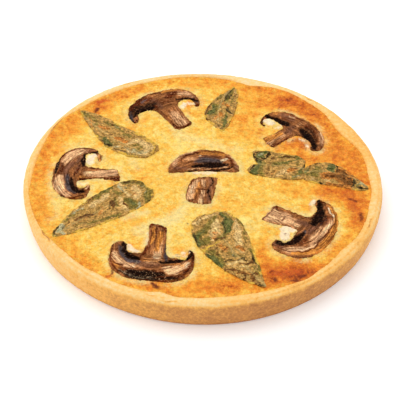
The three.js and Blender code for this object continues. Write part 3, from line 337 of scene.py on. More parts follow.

# Dark strokes on the leaves are partly dried lines and partly painted shade, in creases and along margins
# that sit in the custard.
# Grey strokes on the leaves are partly dried parts and partly painted highlights.
LEAF_PAINT = {
    "leaf_back_left": [
        ("film", 4, 0.66, (-4, -18, 2), (3, -20, 4), (4, -30, 4.6), (-4, -34, 2.4)),
        ("custard", 2.4, 0.6, (8.4, -12, 1), (9.6, -20, 1.6), (9.6, -29, 1.8), (6, -35, 1.6),
                              (-1, -37.6, 1)),
        ("rust", 1.6, 0.6, (-3, 22, 1), (-9, 12, 1.2)),
        ("grey", 2.6, 0.55, (-8, -20, 2), (-6, -28, 3), (0, -33, 2.4)),
        ("olive", 1.6, 0.9, (-3.6, 31, 1.4), (-3.4, 28, 2.4), (-2, 25, 1.4)),
        ("brown", 1.2, 0.5, (-4, 30.4, 0.6), (-3, 26, 0.8)),
        ("olive", 2, 0.6, (-2, 22, 2), (-3, 14, 2), (-8, 11, 1.6)),
        ("brown", 1.3, 0.6, (-3, 15.4, 1), (-2.6, 12.6, 0.9)),
        ("rust", 1.8, 0.4, (-10, 10, 1.2), (-8, 14, 1.2)),
        ("rust", 2, 0.9, (-5, 8.6, 1.6), (-2.6, 4.6, 2)),
        ("olive", 1.5, 0.9, (1, 11, 1.2), (2.4, 6, 1.4), (4.4, 2, 1.4)),
        ("brown", 1.1, 0.8, (1, 10, 0.9)),
        ("brown", 1.1, 0.9, (4, 5.4, 0.9), (2, 4, 0.6)),
        ("olive", 1.5, 0.8, (4.4, 0, 1.4), (4, -6, 1.2)),
        ("grey", 1.2, 0.5, (5, -1, 0.8), (3, 2, 0.8)),
        ("olive", 1.6, 0.7, (-12, 4, 1.2), (-13, -2, 1.6)),
        ("green", 1.6, 0.95, (-12, -3, 1.8), (-13.4, -8, 2), (-13.6, -11.4, 1.6)),
        ("dark", 1.2, 0.7, (-14, -3, 0.6), (-14, -11, 1.6)),
        ("olive", 1.6, 0.6, (-10, -6, 1.4), (-10, -12, 1.6)),
        ("grey", 1.6, 0.6, (-13, -14.6, 1.2), (-10.4, -17, 1.4)),
        ("dark", 0.9, 0.7, (-14.6, -16, 0.5), (-11.6, -20.6, 0.9), (-9.6, -23, 0.5)),
        ("brown", 1, 0.8, (-7, -2.6, 0.6), (-5, -2.6, 0.8)),
        ("rust", 1.8, 0.9, (-5, -7, 1.8), (-4, -12, 2), (-3.6, -16, 1.2)),
        ("brown", 1, 0.7, (-2.6, -8, 0.6), (-3, -11, 0.8)),
        ("brown", 1, 0.5, (-6.4, -9, 0.5), (-5.4, -14, 0.5)),
        ("olive", 1.4, 0.95, (2.4, -10, 1.6), (2.4, -12.6, 1.4)),
        ("brown", 1, 0.4, (2.4, -11, 0.9)),
        ("olive", 1.4, 0.6, (7, -11, 1.2)),
        ("olive", 1.2, 0.9, (-2, -23.4, 0.8), (0, -24, 0.9)),
        ("olive", 1.2, 0.8, (-5, -26, 1), (-1, -27, 1), (1, -26.6, 0.7)),
        ("olive", 1.2, 0.7, (-4, -29.6, 0.9), (0, -30, 0.9)),
        ("olive", 1.6, 0.6, (-11, -24, 1), (-9, -29, 1.2), (-5, -33, 1)),
        ("brown", 0.8, 0.8, (3.6, -37, 0.6), (6, -36, 0.7), (9.6, -32.4, 0.6)),
    ],
    "leaf_back": [
        ("film", 2, 0.7, (5.4, 21, 1), (5.6, 18, 1)),
        ("olive", 1.6, 0.9, (5, 24, 0.8), (2.4, 21.6, 1.6), (2, 14, 2.4), (1.4, 8, 1.8)),
        ("dark", 1.2, 0.9, (4.6, 24, 0.5), (2, 22, 0.7), (1, 16, 1.2), (0.6, 10, 0.9), (0.4, 7, 0.4)),
        ("dark", 1.2, 0.8, (3.8, 14.6, 1), (3.4, 12, 0.9)),
        ("olive", 1.8, 0.7, (-2, 18, 1.2), (-3.6, 13, 1.6), (-4, 8, 1.4)),
        ("brown", 1.4, 0.5, (-3.6, 12, 0.9), (-3.4, 9, 0.9)),
        ("olive", 1.6, 0.6, (6, 14, 1.2), (6, 8, 1.4), (4, 4, 1)),
        ("brown", 0.9, 0.7, (6.6, 20, 0.5), (8.6, 13, 0.6), (9.4, 7, 0.5), (9, 1, 0.5)),
        ("rust", 2, 0.6, (0, 5, 1.6), (3, 2, 2)),
        ("brown", 1.2, 0.5, (3, 0.6, 1.4)),
        ("dark", 1.1, 1, (3.4, -1, 0.8), (5.6, -3.6, 1.4), (8.6, -6.6, 1)),
        ("olive", 1.6, 0.95, (-7.6, 1, 1.6), (-4, 0.6, 2), (-3.6, -5, 2.4), (-6, -9, 2.4), (-8.4, -6, 1.6)),
        ("green", 1.3, 0.7, (-3, 1.6, 1), (-2.6, -2, 0.8)),
        ("green", 1.6, 0.8, (-7, 0, 1.4), (-5, -5, 2), (-7, -9, 1.8)),
        ("green", 1.3, 0.6, (2.4, 21, 1), (1.6, 14, 1.4), (1, 9, 1)),
        ("dark", 1, 0.6, (-3.6, 2.6, 0.5), (-2, -1, 0.5), (-3, -5, 0.4)),
        ("dark", 1, 0.7, (-5.4, -9.4, 0.9)),
        ("brown", 1, 0.9, (-8.6, 3, 0.8), (-9.8, -3, 0.7), (-9.8, -10, 0.8), (-8, -16, 0.9),
                          (-5, -18.6, 0.6)),
        ("brown", 0.9, 0.6, (-5, -18.4, 0.5), (0, -20.6, 0.5), (3, -23.6, 0.5)),
        ("rust", 2, 0.7, (-1, -6, 1.6), (0, -11, 2), (-3, -15, 1.6)),
        ("film", 1.8, 0.6, (-4, -13, 1.4), (0, -15, 1.4), (-1, -18, 0.8)),
        ("olive", 1.4, 0.9, (4, -7, 1.2), (4.4, -14, 1.6), (5.4, -20, 2), (4.6, -24, 1.2)),
        ("green", 1.4, 0.75, (4, -9, 1), (5.4, -16, 1.8), (5, -21, 1.4)),
        ("brown", 1, 0.8, (4, -24.6, 0.8), (4.2, -26.6, 0.8)),
        ("film", 1.4, 0.6, (8, -11, 0.8), (7.6, -16, 0.6)),
    ],
    "leaf_right_inner": [
        ("brown", 1.8, 0.5, (-9, 28, 1.4), (-2, 26.4, 1.6), (6, 26, 1.6)),
        ("rust", 2, 0.5, (-8, 26, 1.6), (-3, 22, 2), (2, 20, 1.6)),
        ("film", 2.2, 0.6, (-8, 21, 1.4), (-5, 17, 2.6), (0, 15, 2), (-5, 13, 2)),
        ("rust", 2.4, 0.4, (-6, 18, 2), (0, 16, 2)),
        ("green", 1.4, 1, (-8.6, 37, 1.6), (-5, 35, 2.4), (0, 33.4, 2), (7, 33, 2)),
        ("olive", 1.4, 0.6, (-5, 35, 1.4), (3, 33, 1)),
        ("dark", 0.9, 0.9, (-9.6, 38, 0.6), (-5, 39, 0.6), (-1, 36.6, 0.7), (4, 35, 0.7), (8, 34.6, 0.6)),
        ("dark", 0.9, 0.5, (-8, 33.6, 0.6), (-4, 31.4, 0.6)),
        ("olive", 1.5, 0.85, (-7, 31, 1.6), (0, 30.6, 2), (6, 30, 1.8)),
        ("green", 1.3, 1, (12, 33, 2.8), (15, 31.6, 3), (17, 28.6, 1.6)),
        ("grey", 1.5, 0.55, (13, 33.4, 1.4), (15, 31, 1.4)),
        ("dark", 0.8, 1, (9, 32, 0.8), (10, 36.4, 0.6), (14, 37, 0.6), (17.6, 33.6, 0.6), (19, 29, 0.7)),
        ("dark", 0.8, 1, (19, 28.6, 0.8), (17, 26.6, 0.9), (13.4, 27, 0.8), (10.6, 30, 0.8)),
        ("olive", 1.8, 0.9, (4, 24, 1.6), (6, 18, 2.2), (8, 12, 2)),
        ("green", 1.6, 0.6, (6, 20, 1.2), (8, 12, 1.4), (12, 7, 1.2)),
        ("brown", 1.2, 0.6, (9, 25, 1), (12, 23, 1.2)),
        ("olive", 1.4, 0.9, (13, 19, 1.2), (13.6, 13, 1.6), (13, 8, 1.4), (12, 4, 1)),
        ("brown", 1, 0.8, (12.6, 18, 0.7), (13.6, 13, 0.9), (12.6, 9, 0.7)),
        ("dark", 0.8, 0.6, (14, 16, 0.5), (14.6, 11, 0.6)),
        ("dark", 0.8, 0.5, (10.6, 14, 0.5), (11.4, 10, 0.5)),
        ("rust", 1.6, 1, (-1.4, 12.4, 1.8), (0, 10, 2.2), (0.6, 8, 1.6)),
        ("brown", 1.2, 0.7, (0, 8.6, 1), (1.4, 7.4, 0.8)),
        ("brown", 0.9, 0.4, (1.6, 10, 0.7)),
        ("olive", 1.6, 0.8, (-10, 9, 1.2), (-6, 7, 2), (-2, 4.6, 2)),
        ("grey", 1.4, 0.6, (-8, 8.6, 1), (-7.4, 4.4, 1.4)),
        ("green", 1.2, 0.8, (-3, 6, 1), (0, 4, 1.3), (3, 2.6, 1)),
        ("olive", 1.5, 0.6, (5, 8, 1.8), (8, 6, 1.6)),
        ("grey", 1.3, 0.4, (6, 8.4, 1.2), (10, 4, 0.8)),
        ("dark", 0.8, 0.9, (0.6, 4.4, 0.5), (4, 2.4, 0.8), (9, 1.6, 0.6), (15, 1.2, 0.7)),
        ("brown", 1, 0.5, (-11, 26, 0.5), (-11, 12, 0.5)),
    ],
    "leaf_right_outer": [
        ("olive", 2, 0.8, (-4, 0, 2), (-3, -5, 3), (3, -7, 3)),
        ("green", 1.2, 0.8, (-2, 2, 1.2), (1, 0, 1.2)),
        ("film", 1.6, 0.6, (-9, -4, 1.4), (-7, -2, 1)),
        ("film", 2, 0.7, (-8, -13, 1.8), (-12, -15, 1)),
        ("olive", 1.4, 0.6, (-9, -7, 1.6), (-6, -12, 1.4)),
        ("brown", 0.9, 0.9, (2, -0.6, 0.5), (6, -2, 0.6), (8.4, -4.6, 0.8), (8.4, -7.4, 0.5)),
        ("brown", 1.6, 0.4, (-2, -5, 1.4), (4, -9, 1.6)),
        ("dark", 0.9, 0.9, (-13.4, -8.4, 0.6), (-11, -9.6, 0.8), (-9.6, -10, 0.4)),
        ("rust", 1.6, 1, (-2, -11, 1.8), (0, -13, 1.8)),
        ("brown", 1, 0.7, (-2, -11.6, 1)),
        ("green", 1.4, 1, (3.6, -15.6, 2.4), (6.6, -16, 2)),
        ("olive", 1.3, 0.5, (5.4, -14.6, 1.2)),
        ("dark", 0.9, 0.8, (1, -18.6, 0.6), (5, -19.4, 0.8), (8.6, -18.4, 0.6)),
        ("rust", 2.4, 1, (-5, -12, 2.6), (-3, -17, 4.4), (-4, -23, 5.4), (-9, -28, 4)),
        ("rust", 2, 0.9, (3, -20.6, 2), (1, -25, 2.4), (-2, -29, 1.6)),
        ("rust", 1.6, 1, (-13.6, -12, 1.6), (-14.8, -20, 2), (-15, -29, 1.6)),
        ("rust", 1.6, 1, (8.4, -20.6, 1.6), (5, -26, 2), (-0.6, -31.6, 2), (-4, -36, 1.8)),
        ("rust", 1.6, 0.8, (-12, -5, 1.2), (-13.4, -9, 1)),
        ("brown", 2, 0.64, (-3, -12, 2.2), (-3, -17, 4), (-4, -22, 4.2), (-8, -27, 3.8), (-11, -30, 2.2)),
        ("brown", 2, 0.66, (2, -19.6, 1.8), (0.6, -22.6, 2.2), (-1, -26, 1.8)),
        ("dark", 0.9, 0.6, (-1, -18, 0.7), (-6, -22, 0.5), (-5, -26, 0.6)),
        ("brown", 1, 0.7, (-12, -24, 1), (-12.4, -19, 0.7)),
        ("rust", 1.8, 0.85, (-11, -13, 1.4), (-12.4, -18, 1.6), (-12.4, -27, 1.4)),
        ("dark", 1.1, 0.9, (-13, -29.6, 0.7), (-10, -31.4, 1.6), (-6, -31, 1.2)),
        ("grey", 1.4, 0.5, (-10.4, -34, 1.6), (-9, -38, 2.6), (-11, -40.6, 1.4)),
        ("olive", 1.4, 0.75, (-11, -34, 1.8), (-9, -37, 2), (-8, -40, 1.2)),
        ("brown", 0.9, 0.8, (-6, -32, 0.5), (-5, -36, 0.5), (-8, -40.6, 0.5)),
        ("dark", 0.8, 1, (-13, -34, 0.5), (-13, -39, 0.7), (-13, -43, 1)),
    ],
    "leaf_left": [
        ("rust", 2.4, 0.5, (-4, 27, 2), (0, 24, 2.4), (3, 27, 1.6)),
        ("film", 2, 0.95, (-4, 27.6, 2.4), (1, 26.6, 2.8), (3, 23, 1.8)),
        ("film", 1.4, 1, (-15, 20.6, 1), (-8, 20.4, 1.4), (-1, 20.6, 1.4)),
        ("film", 1.4, 0.9, (-2, 14, 1.2), (5, 11.4, 1), (11, 12, 1.2)),
        ("olive", 1.8, 0.95, (-13.4, 23, 1.6), (-11, 29, 2.4), (-6, 33.6, 2.4), (0, 35, 1.6)),
        ("olive", 1.6, 0.95, (0, 35, 1.6), (5, 32.6, 2.8), (9, 28.6, 2.6), (10.6, 26, 1.4)),
        ("green", 1.8, 0.55, (-13, 13, 1.2), (-12, 7, 1), (-11, 26, 1.2), (-8, 31, 1)),
        ("brown", 1.4, 0.6, (-12.6, 24, 1), (-10, 30, 1.2), (-5, 34, 1)),
        ("green", 1.2, 0.5, (4, 32, 1), (8.6, 28.6, 1.4)),
        ("dark", 0.8, 0.6, (-13.6, 22.4, 0.6), (-12.4, 27, 0.5), (-8, 33, 0.5), (-4, 35.6, 0.5)),
        ("grey", 0.9, 0.7, (-6, 31, 0.4), (-3, 33.6, 0.5)),
        ("grey", 0.9, 0.7, (4, 30.4, 0.4), (2, 33, 0.4)),
        ("grey", 0.9, 0.7, (9.6, 31, 0.4), (11, 28, 0.4)),
        ("grey", 1.4, 0.5, (-9, 23, 1.4)),
        ("olive", 1.4, 0.5, (-8, 23.4, 1.8)),
        ("grey", 1, 0.8, (-15, 20.4, 0.6), (-10, 19.4, 0.7), (-5, 19.6, 0.5)),
        ("grey", 1.2, 0.9, (8, 22.2, 0.8), (12.6, 20.6, 1.4), (14, 18, 1)),
        ("olive", 1.4, 1, (2, 16.6, 2.6), (6, 17.6, 3.6), (11, 17.4, 2.8)),
        ("green", 1.4, 0.7, (3, 18, 1.2), (9, 18.4, 2)),
        ("brown", 0.9, 0.7, (1, 13.6, 0.5), (5, 12.8, 0.8), (8, 13.8, 0.5)),
        ("dark", 0.9, 0.6, (1, 16, 0.5), (6, 16, 0.6)),
        ("dark", 0.9, 0.6, (4, 19.4, 0.5), (8, 19.6, 0.5)),
        ("olive", 1.5, 1, (-15.4, 18, 1), (-14, 12, 2.2), (-12.4, 7, 1.8), (-11, 1, 1.4)),
        ("green", 1.2, 0.8, (-15.6, 17, 0.8), (-14.6, 11, 1)),
        ("dark", 0.8, 0.7, (-16, 18.4, 0.5), (-15.4, 12, 0.5), (-13.6, 5, 0.5), (-12.4, 0, 0.5)),
        ("olive", 1.4, 0.9, (-9, 14.4, 1.2), (-6, 16, 2), (-4.6, 17, 1)),
        ("film", 2, 0.9, (-9, 9, 1.6), (-7, 2, 2.2), (-6, -4, 2)),
        ("film", 1.6, 0.6, (5, 10, 1.2), (10, 10, 1.6)),
        ("brown", 1.6, 0.8, (-2.6, 8.6, 1.6), (1, 7, 2), (4, 5.4, 1.4)),
        ("olive", 1.6, 0.7, (-3, 9.6, 2), (3, 8, 2)),
        ("dark", 0.8, 0.7, (-3, 9, 0.4), (0, 5.6, 0.6), (2.4, 2.4, 0.6)),
        ("dark", 0.7, 0.6, (1, 9.6, 0.4), (4, 6.6, 0.5)),
        ("rust", 2, 0.6, (0, 0, 1.8), (4, -4, 2)),
        ("film", 2, 0.6, (3, -2, 1.6)),
        ("brown", 1, 0.5, (-2, -1.6, 0.6), (1, -4.6, 0.6)),
        ("olive", 1.3, 0.9, (11.6, 4.6, 1.4), (9.4, 0, 1.6), (8.6, -8, 1.2), (7.4, -16, 1)),
        ("green", 1, 0.6, (11.6, 3, 1), (9, -3, 0.8)),
        ("dark", 0.8, 0.5, (8.6, -2, 0.4), (7.6, -10, 0.5), (7, -17, 0.4)),
        ("brown", 1, 0.8, (-13, 1, 0.6), (-11, -3.6, 0.6), (-9.4, -9, 0.6)),
        ("olive", 1.8, 0.6, (-7, -8, 1.2), (-6.4, -14, 1.4), (-4, -22, 2), (-2, -28, 1.6)),
        ("grey", 1.2, 0.7, (-8, -9, 0.8), (-7, -14, 1), (-5.6, -19, 0.8)),
        ("brown", 1.8, 0.8, (1, -9, 1.4), (1, -14, 1.8), (0, -20, 1.2)),
        ("rust", 1.8, 0.5, (2, -12, 1.4), (4, -20, 1.2), (3, -26, 1.6)),
        ("dark", 0.8, 0.8, (-10, -10, 0.5), (-8.6, -17, 0.6), (-6.4, -24, 0.6), (-4, -28, 0.4)),
        ("olive", 1.2, 0.6, (5.6, -13, 0.8), (5.6, -24, 1)),
        ("brown", 1, 0.6, (-2, -24, 0.7), (1, -27, 0.7)),
        ("grey", 1.3, 1, (-4, -30, 0.8), (0, -31.6, 1.6), (4, -34.4, 1.4), (7, -33, 1)),
        ("film", 1, 0.5, (8, -30, 0.8)),
        ("dark", 0.8, 1, (-3.4, -31.6, 0.6), (0, -34.6, 0.9), (4, -37.4, 0.8)),
        ("dark", 0.8, 0.7, (-1, -30, 0.4), (3, -32, 0.4), (5, -34, 0.4)),
        ("dark", 0.9, 1, (4.6, -38, 0.8), (6, -41, 0.8)),
        ("brown", 1, 0.9, (8.6, -36, 0.9), (7, -38.6, 0.8)),
    ],
    "leaf_front": [
        ("film", 2, 1, (-7, 9, 1.5), (-4, 15, 3.2), (0, 21, 2.8), (1, 26, 1.4)),
        ("rust", 2, 0.62, (-6, 9, 1.5), (-3, 14, 2)),
        ("film", 2, 0.8, (7, -6, 1.8), (7, -1, 2.2), (9, 5, 2.2), (11, 12, 2.4), (13, 19, 1.4)),
        ("film", 1.8, 0.7, (-13, 26, 1.6), (-9, 28, 1.8), (-3, 30, 1.4), (3, 30, 1.4)),
        ("rust", 1.8, 0.4, (-8, 28, 1.2), (-7, 24, 1)),
        ("olive", 1.6, 1, (-16, 13, 2), (-12, 16, 3), (-7, 20, 2), (-2, 25, 1.6), (3, 29, 1.2)),
        ("olive", 1.8, 1, (-16, 8, 2.4), (-11, 9, 2.4), (-8, 12, 1.4)),
        ("green", 1.5, 0.7, (-14, 15, 1.6), (-9, 18.6, 1.2)),
        ("green", 1.5, 0.6, (-14, 9, 1.8)),
        ("green", 1.3, 0.9, (-16.6, 17, 1), (-16.4, 12, 1.8), (-17, 7, 1.4)),
        ("dark", 0.7, 0.9, (-15.6, 18, 0.4), (-16.8, 14, 0.6), (-17, 9, 0.5), (-18.4, 5, 0.4)),
        ("dark", 0.8, 0.7, (-6, 31, 0.5), (0, 33.4, 0.6), (5, 34, 0.5)),
        ("dark", 0.8, 0.5, (-12, 21, 0.5), (-7, 22.6, 0.7), (-2, 27, 0.5)),
        ("brown", 1, 0.7, (-7.6, 28.6, 0.9)),
        ("green", 1.2, 1, (8, 32, 0.8), (7.6, 26, 1), (7, 20, 3), (5, 15, 2.4), (3.6, 12.6, 1)),
        ("green", 1.2, 0.9, (11, 21, 1.4), (7, 18, 2)),
        ("dark", 0.7, 0.8, (7.6, 31, 0.5), (5.6, 25, 0.4), (4.4, 18, 0.5), (3, 13, 0.5)),
        ("grey", 1.2, 0.4, (10, 30, 0.8), (11.4, 23, 0.8)),
        ("olive", 1.5, 1, (4, 13, 2), (0, 10, 2), (-4, 8, 1.4)),
        ("olive", 1.2, 0.7, (13, 28, 1), (15, 20, 0.8), (15, 10, 1), (14.4, 2, 1)),
        ("olive", 1.4, 0.6, (13, 6, 1), (12.6, 0, 1)),
        ("custard", 1.2, 0.9, (-19, 2, 2), (-14, 2, 1.4), (-9, 4, 0.8), (-3, 5.6, 0.5)),
        ("brown", 0.9, 0.8, (-6, 8, 0.6), (-3, 8.4, 0.9), (1, 9, 0.5)),
        ("dark", 0.7, 0.5, (-16, 5.2, 0.4), (-8, 5.6, 0.5), (0, 6.4, 0.4)),
        ("grey", 1.2, 0.5, (9, 15, 0.6), (5, 8, 0.7), (2, -2, 0.8), (1, -10, 0.7)),
        ("rust", 2.4, 0.62, (-4, 2, 2.4), (-2, -3, 2)),
        ("brown", 0.9, 0.7, (-4, -3, 0.7), (-1, -1, 0.7)),
        ("brown", 1, 0.6, (-6, 4, 0.7), (-8, -6, 0.8)),
        ("green", 1.4, 0.95, (-14, -3, 1.6), (-12, -8, 2.8), (-10, -14, 2.4)),
        ("olive", 1.6, 0.9, (-11, 0, 2), (-8, -6, 2), (-7.4, -14, 1.8)),
        ("olive", 2, 0.6, (-1, -5, 1.8), (2, -9, 2), (6, -11, 1.4)),
        ("olive", 1.6, 0.8, (8, 30, 1.6), (10, 25, 1.6), (10.6, 20, 1)),
        ("dark", 0.7, 0.7, (-15, -4, 0.5), (-13, -10, 0.5), (-9.6, -18, 0.5)),
        ("film", 2, 0.6, (7, -6, 2), (9, 0, 2)),
        ("rust", 1.8, 0.8, (7, -2, 2), (9, -6, 1.4)),
        ("olive", 1.4, 0.9, (13, -6, 1), (12, -14, 1.4), (12, -24, 1.2), (11.6, -32, 1)),
        ("dark", 0.9, 0.7, (12.4, -9, 0.5), (11, -16, 1.1), (12, -22, 0.5)),
        ("dark", 0.8, 0.8, (-6, -12, 0.5), (-3, -11, 0.5), (0, -13.4, 0.6), (4, -12, 0.5), (8, -14.6, 0.9)),
        ("film", 1.1, 0.9, (-5, -14, 0.8), (-1, -15.4, 0.9), (3, -14.4, 0.8), (7, -17, 0.8)),
        ("brown", 1, 0.95, (-8, -19, 0.6), (-4, -19.6, 0.9), (0, -21.4, 0.8)),
        ("brown", 1, 0.8, (2, -17, 0.7), (6, -18.6, 0.8), (10, -17, 1.2)),
        ("film", 1, 0.7, (-3, -17.4, 0.7), (2, -19.4, 0.7), (6, -21, 0.7)),
        ("rust", 2.2, 0.6, (-2, -24, 2), (4, -26, 2.2), (4, -32, 2)),
        ("brown", 2.4, 0.6, (0, -23, 2), (4, -28, 2.6), (5, -34, 2)),
        ("brown", 1, 0.85, (-2, -24, 0.8), (1, -26.6, 0.8), (-1, -29, 0.7)),
        ("brown", 1, 0.8, (4, -28.6, 0.8), (8, -27, 0.8), (5, -32, 0.8)),
        ("film", 1, 0.6, (1, -24.4, 0.6), (5, -30.4, 0.6), (8, -33, 0.6)),
        ("brown", 1, 0.8, (3, -35, 0.7), (7, -36, 0.9)),
        ("dark", 1, 1, (6, -38, 0.8), (9.4, -39.4, 0.9)),
        ("olive", 1.4, 0.7, (9, -22, 1), (9, -31, 1)),
    ],
}

# Browning of the custard, with painted highlight at two places, in the quiche's own frame: each stroke,
# (softness, strength, point, ...), adds its strength.
CUSTARD_BROWNING_AND_HIGHLIGHTS = [
    (26, 0.22, (40, 104, 8), (88, 60, 20), (106, 10, 14)),
    (14, 0.22, (28, 86, 6), (30, 62, 6), (30, 46, 6)),
    (14, 0.1, (60, 84, 8), (84, 50, 8)),
    (14, 0.2, (84, 30, 10), (98, -6, 12), (100, -40, 5)),
    (10, 0.2, (92, -14, 6), (101, -34, 5), (100, -44, 3)),
    (10, 0.34, (52, 40, 5), (66, 36, 7)),
    (8, 0.22, (66, 20, 4), (70, 12, 4)),
    (10, 0.24, (58, -8, 4), (76, -14, 6), (74, -28, 4)),
    (7, -0.2, (90, -38, 3), (91, -50, 4)),
    (8, -0.14, (98, 42, 4), (92, 58, 3)),
    (9, 0.32, (40, -92, 6), (54, -90, 10), (68, -84, 5)),
    (6, 0.26, (48, -93, 4), (64, -90, 4)),
    (9, 0.22, (40, -62, 4), (42, -78, 5), (56, -80, 5)),
    (12, 0.28, (-6, -104, 4), (18, -98, 7), (38, -86, 6)),
    (8, 0.2, (-38, -100, 4), (-20, -104, 4)),
    (6, 0.16, (-10, -70, 2), (0, -90, 3)),
    (5, 0.22, (54, 88, 3), (64, 87, 4)),
    (6, 0.12, (70, 78, 5), (79, 70, 4)),
    (4, 0.16, (40, 100, 3)),
    (9, 0.22, (-66, 86, 4), (-48, 97, 4)),
    (4, 0.36, (-76, 80, 2.4), (-71, 83, 2)),
    (8, 0.24, (-80, 70, 3), (-70, 72, 4)),
    (8, 0.16, (-60, 62, 4), (-50, 50, 3)),
    (6, 0.2, (-10, 82, 3), (-10, 68, 3)),
    (8, 0.2, (-108, 2, 4), (-103, 34, 3), (-92, 56, 3)),
    (6, -0.14, (-99, 18, 3)),
    (6, 0.12, (-20, 104, 3), (4, 104, 3)),
    (8, 0.14, (-40, -26, 3), (-22, -33, 4)),
    (7, 0.14, (-38, -44, 4), (-60, -50, 4)),
    (6, 0.22, (-41, -70, 2)),
    (6, -0.16, (-63, -80, 3), (-80, -60, 2)),
    (8, 0.2, (-74, -76, 3), (-66, -88, 3)),
    (7, 0.14, (-107, -18, 2), (-99, -42, 2)),
    (6, 0.2, (84, -64, 3), (91, -60, 3)),
    (5, 0.14, (83, -12, 2.5)),
    (7, 0.16, (14, -20, 3), (24, -24, 3)),
    (6, 0.15, (32, -28, 3)),
    (6, 0.12, (16, 40, 3)),
    (6, 0.14, (36, 49, 3)),
    (5, 0.22, (-71, 31, 2.4)),
    (5, 0.22, (-60, -10, 2)),
    (8, 0.12, (-48, 4, 4), (-36, 2, 4)),
    (6, 0.14, (50, -50, 3)),
    (8, 0.12, (-2, 84, 4), (0, 66, 3)),
    (8, 0.08, (-16, -4, 4), (-4, -2, 3)),
    # These two make the custard paler where its soft sheen lies: painted highlight.
    (8, -0.12, (-22, 40, 4), (-14, 30, 4)),
    (12, -0.16, (-14, -36, 6), (-26, -50, 6)),
    (7, -0.1, (-52, 18, 4), (-48, 26, 4)),
    (10, -0.12, (0, -48, 4), (-4, -58, 4)),
    (8, -0.12, (-86, 28, 4), (-76, 36, 3)),
    (7, -0.14, (28, -40, 4)),
    (9, 0.28, (38, 83, 4), (52, 80, 5)),
    (7, 0.18, (32, 66, 4), (22, 58, 3)),
    (6, 0.2, (12, 92, 3)),
    (7, 0.16, (-9, 80, 3)),
    (8, 0.28, (62, 42, 5), (72, 38, 5)),
    (8, 0.32, (50, 32, 3.5), (54, 28, 4)),
    (8, 0.3, (68, 22, 4), (74, 18, 4)),
    (7, 0.12, (84, 20, 5), (90, 30, 5)),
    (7, 0.14, (50, -8, 3), (62, -12, 3)),
    (8, 0.2, (80, -10, 5), (90, -12, 5)),
    (7, 0.17, (82, -22, 4), (92, -22, 4)),
    (6, 0.2, (70, -30, 3)),
    (7, 0.1, (102, -30, 4), (101, -42, 4)),
    (6, -0.14, (-98, -30, 4), (-90, -28, 4)),
    (6, 0.12, (-20, -30, 3)),
    (7, -0.12, (-8, -28, 4), (0, -30, 3)),
    (6, -0.2, (30, -41, 3.5)),
    (8, -0.16, (-20, -50, 4), (-20, -62, 3)),
    (6, 0.16, (-40, -70, 3)),
    (6, 0.14, (-10, -71, 3)),
    (6, 0.12, (40, -68, 4), (42, -80, 4)),
    (6, -0.15, (-60, -80, 3), (-60, -90, 2)),
    (5, -0.18, (37, -90, 3)),
    (5, 0.15, (60, -80, 4), (70, -80, 3)),
    (5, 0.18, (40, -100, 2)),
    (6, 0.14, (-30, -100, 3)),
    (8, 0.1, (2, -101, 4), (22, -99, 4)),
    (6, -0.15, (-20, 100, 4), (-30, 99, 3)),
    (6, -0.16, (-50, 90, 3)),
    (6, 0.17, (-70, 72, 3)),
    (6, 0.22, (-40, 60, 4)),
    (6, 0.12, (-46, 50, 5)),
    (6, -0.18, (-10, 30, 4)),
    (6, 0.16, (-70, 30, 3)),
    (6, -0.16, (-50, 0, 4)),
    (6, 0.13, (40, 50, 4)),
]

CUSTARD_SPOTS_AND_HIGHLIGHTS = [
    ("scorch", 1.6, 1, (-76.4, 70, 1.6), (-75.4, 72, 1.4)),
    ("scorch", 1.4, 0.9, (45, -95, 1.6)),
    ("scorch", 1.5, 1, (55, -96, 1.2), (58, -95.4, 1.4)),
    ("scorch", 1.6, 0.9, (60, -92.6, 1.8), (63, -91, 1.2)),
    ("scorch", 1.6, 0.9, (102.4, -34, 1), (102, -40, 1.2)),
    ("scorch", 1.4, 0.8, (96, -19, 1), (100, -22, 1)),
    ("scorch", 1.2, 0.7, (53, 76, 0.8)),
    ("scorch", 1.1, 0.9, (-54.4, -89.6, 0.6), (-53.8, -92.6, 0.7)),
    ("scorch", 1.2, 1, (-29, -101, 1.2), (-26, -103.4, 1.4)),
    ("scorch", 1, 0.8, (-9.4, -45, 0.7), (-8.8, -46.4, 0.6)),
    ("scorch", 1.4, 0.7, (60, 87, 1.2)),
    ("scorch", 1.2, 0.6, (40.4, 100.4, 1)),
    ("rust", 2.5, 0.9, (-75, 79, 2), (-71, 82, 1.6)),
    ("rust", 2, 0.7, (-57, -95, 1.6), (-54, -94, 1.2)),
    ("rust", 3.5, 0.55, (44, -90, 3), (60, -88, 4)),
    ("rust", 3.5, 0.5, (94, -12, 3), (98, -22, 3), (97, -40, 3)),
    ("rust", 3, 0.5, (56, 88, 2), (64, 86, 2)),
    ("rust", 2.5, 0.4, (-82, 62, 2), (-76, 68, 2)),
    # These two pale strokes are partly painted highlight: they make the custard paler where its soft sheen
    # lies.
    ("pale", 6, 0.5, (-16, 44, 6), (10, 32, 5), (26, 30, 3)),
    ("pale", 5, 0.6, (-12, -30, 4), (-20, -42, 6), (-40, -54, 5)),
    ("pale", 5, 0.5, (-100, -20, 2), (-92, -38, 3), (-98, -46, 2)),
    ("pale", 4, 0.5, (-48, 16, 4), (-44, 8, 3)),
    ("pale", 4, 0.4, (-82, 34, 3), (-96, 30, 2)),
    ("pale", 5, 0.4, (0, -34, 3), (30, -50, 4)),
    ("pale", 3, 0.6, (-50, -42, 3), (-36, -36, 3)),
]

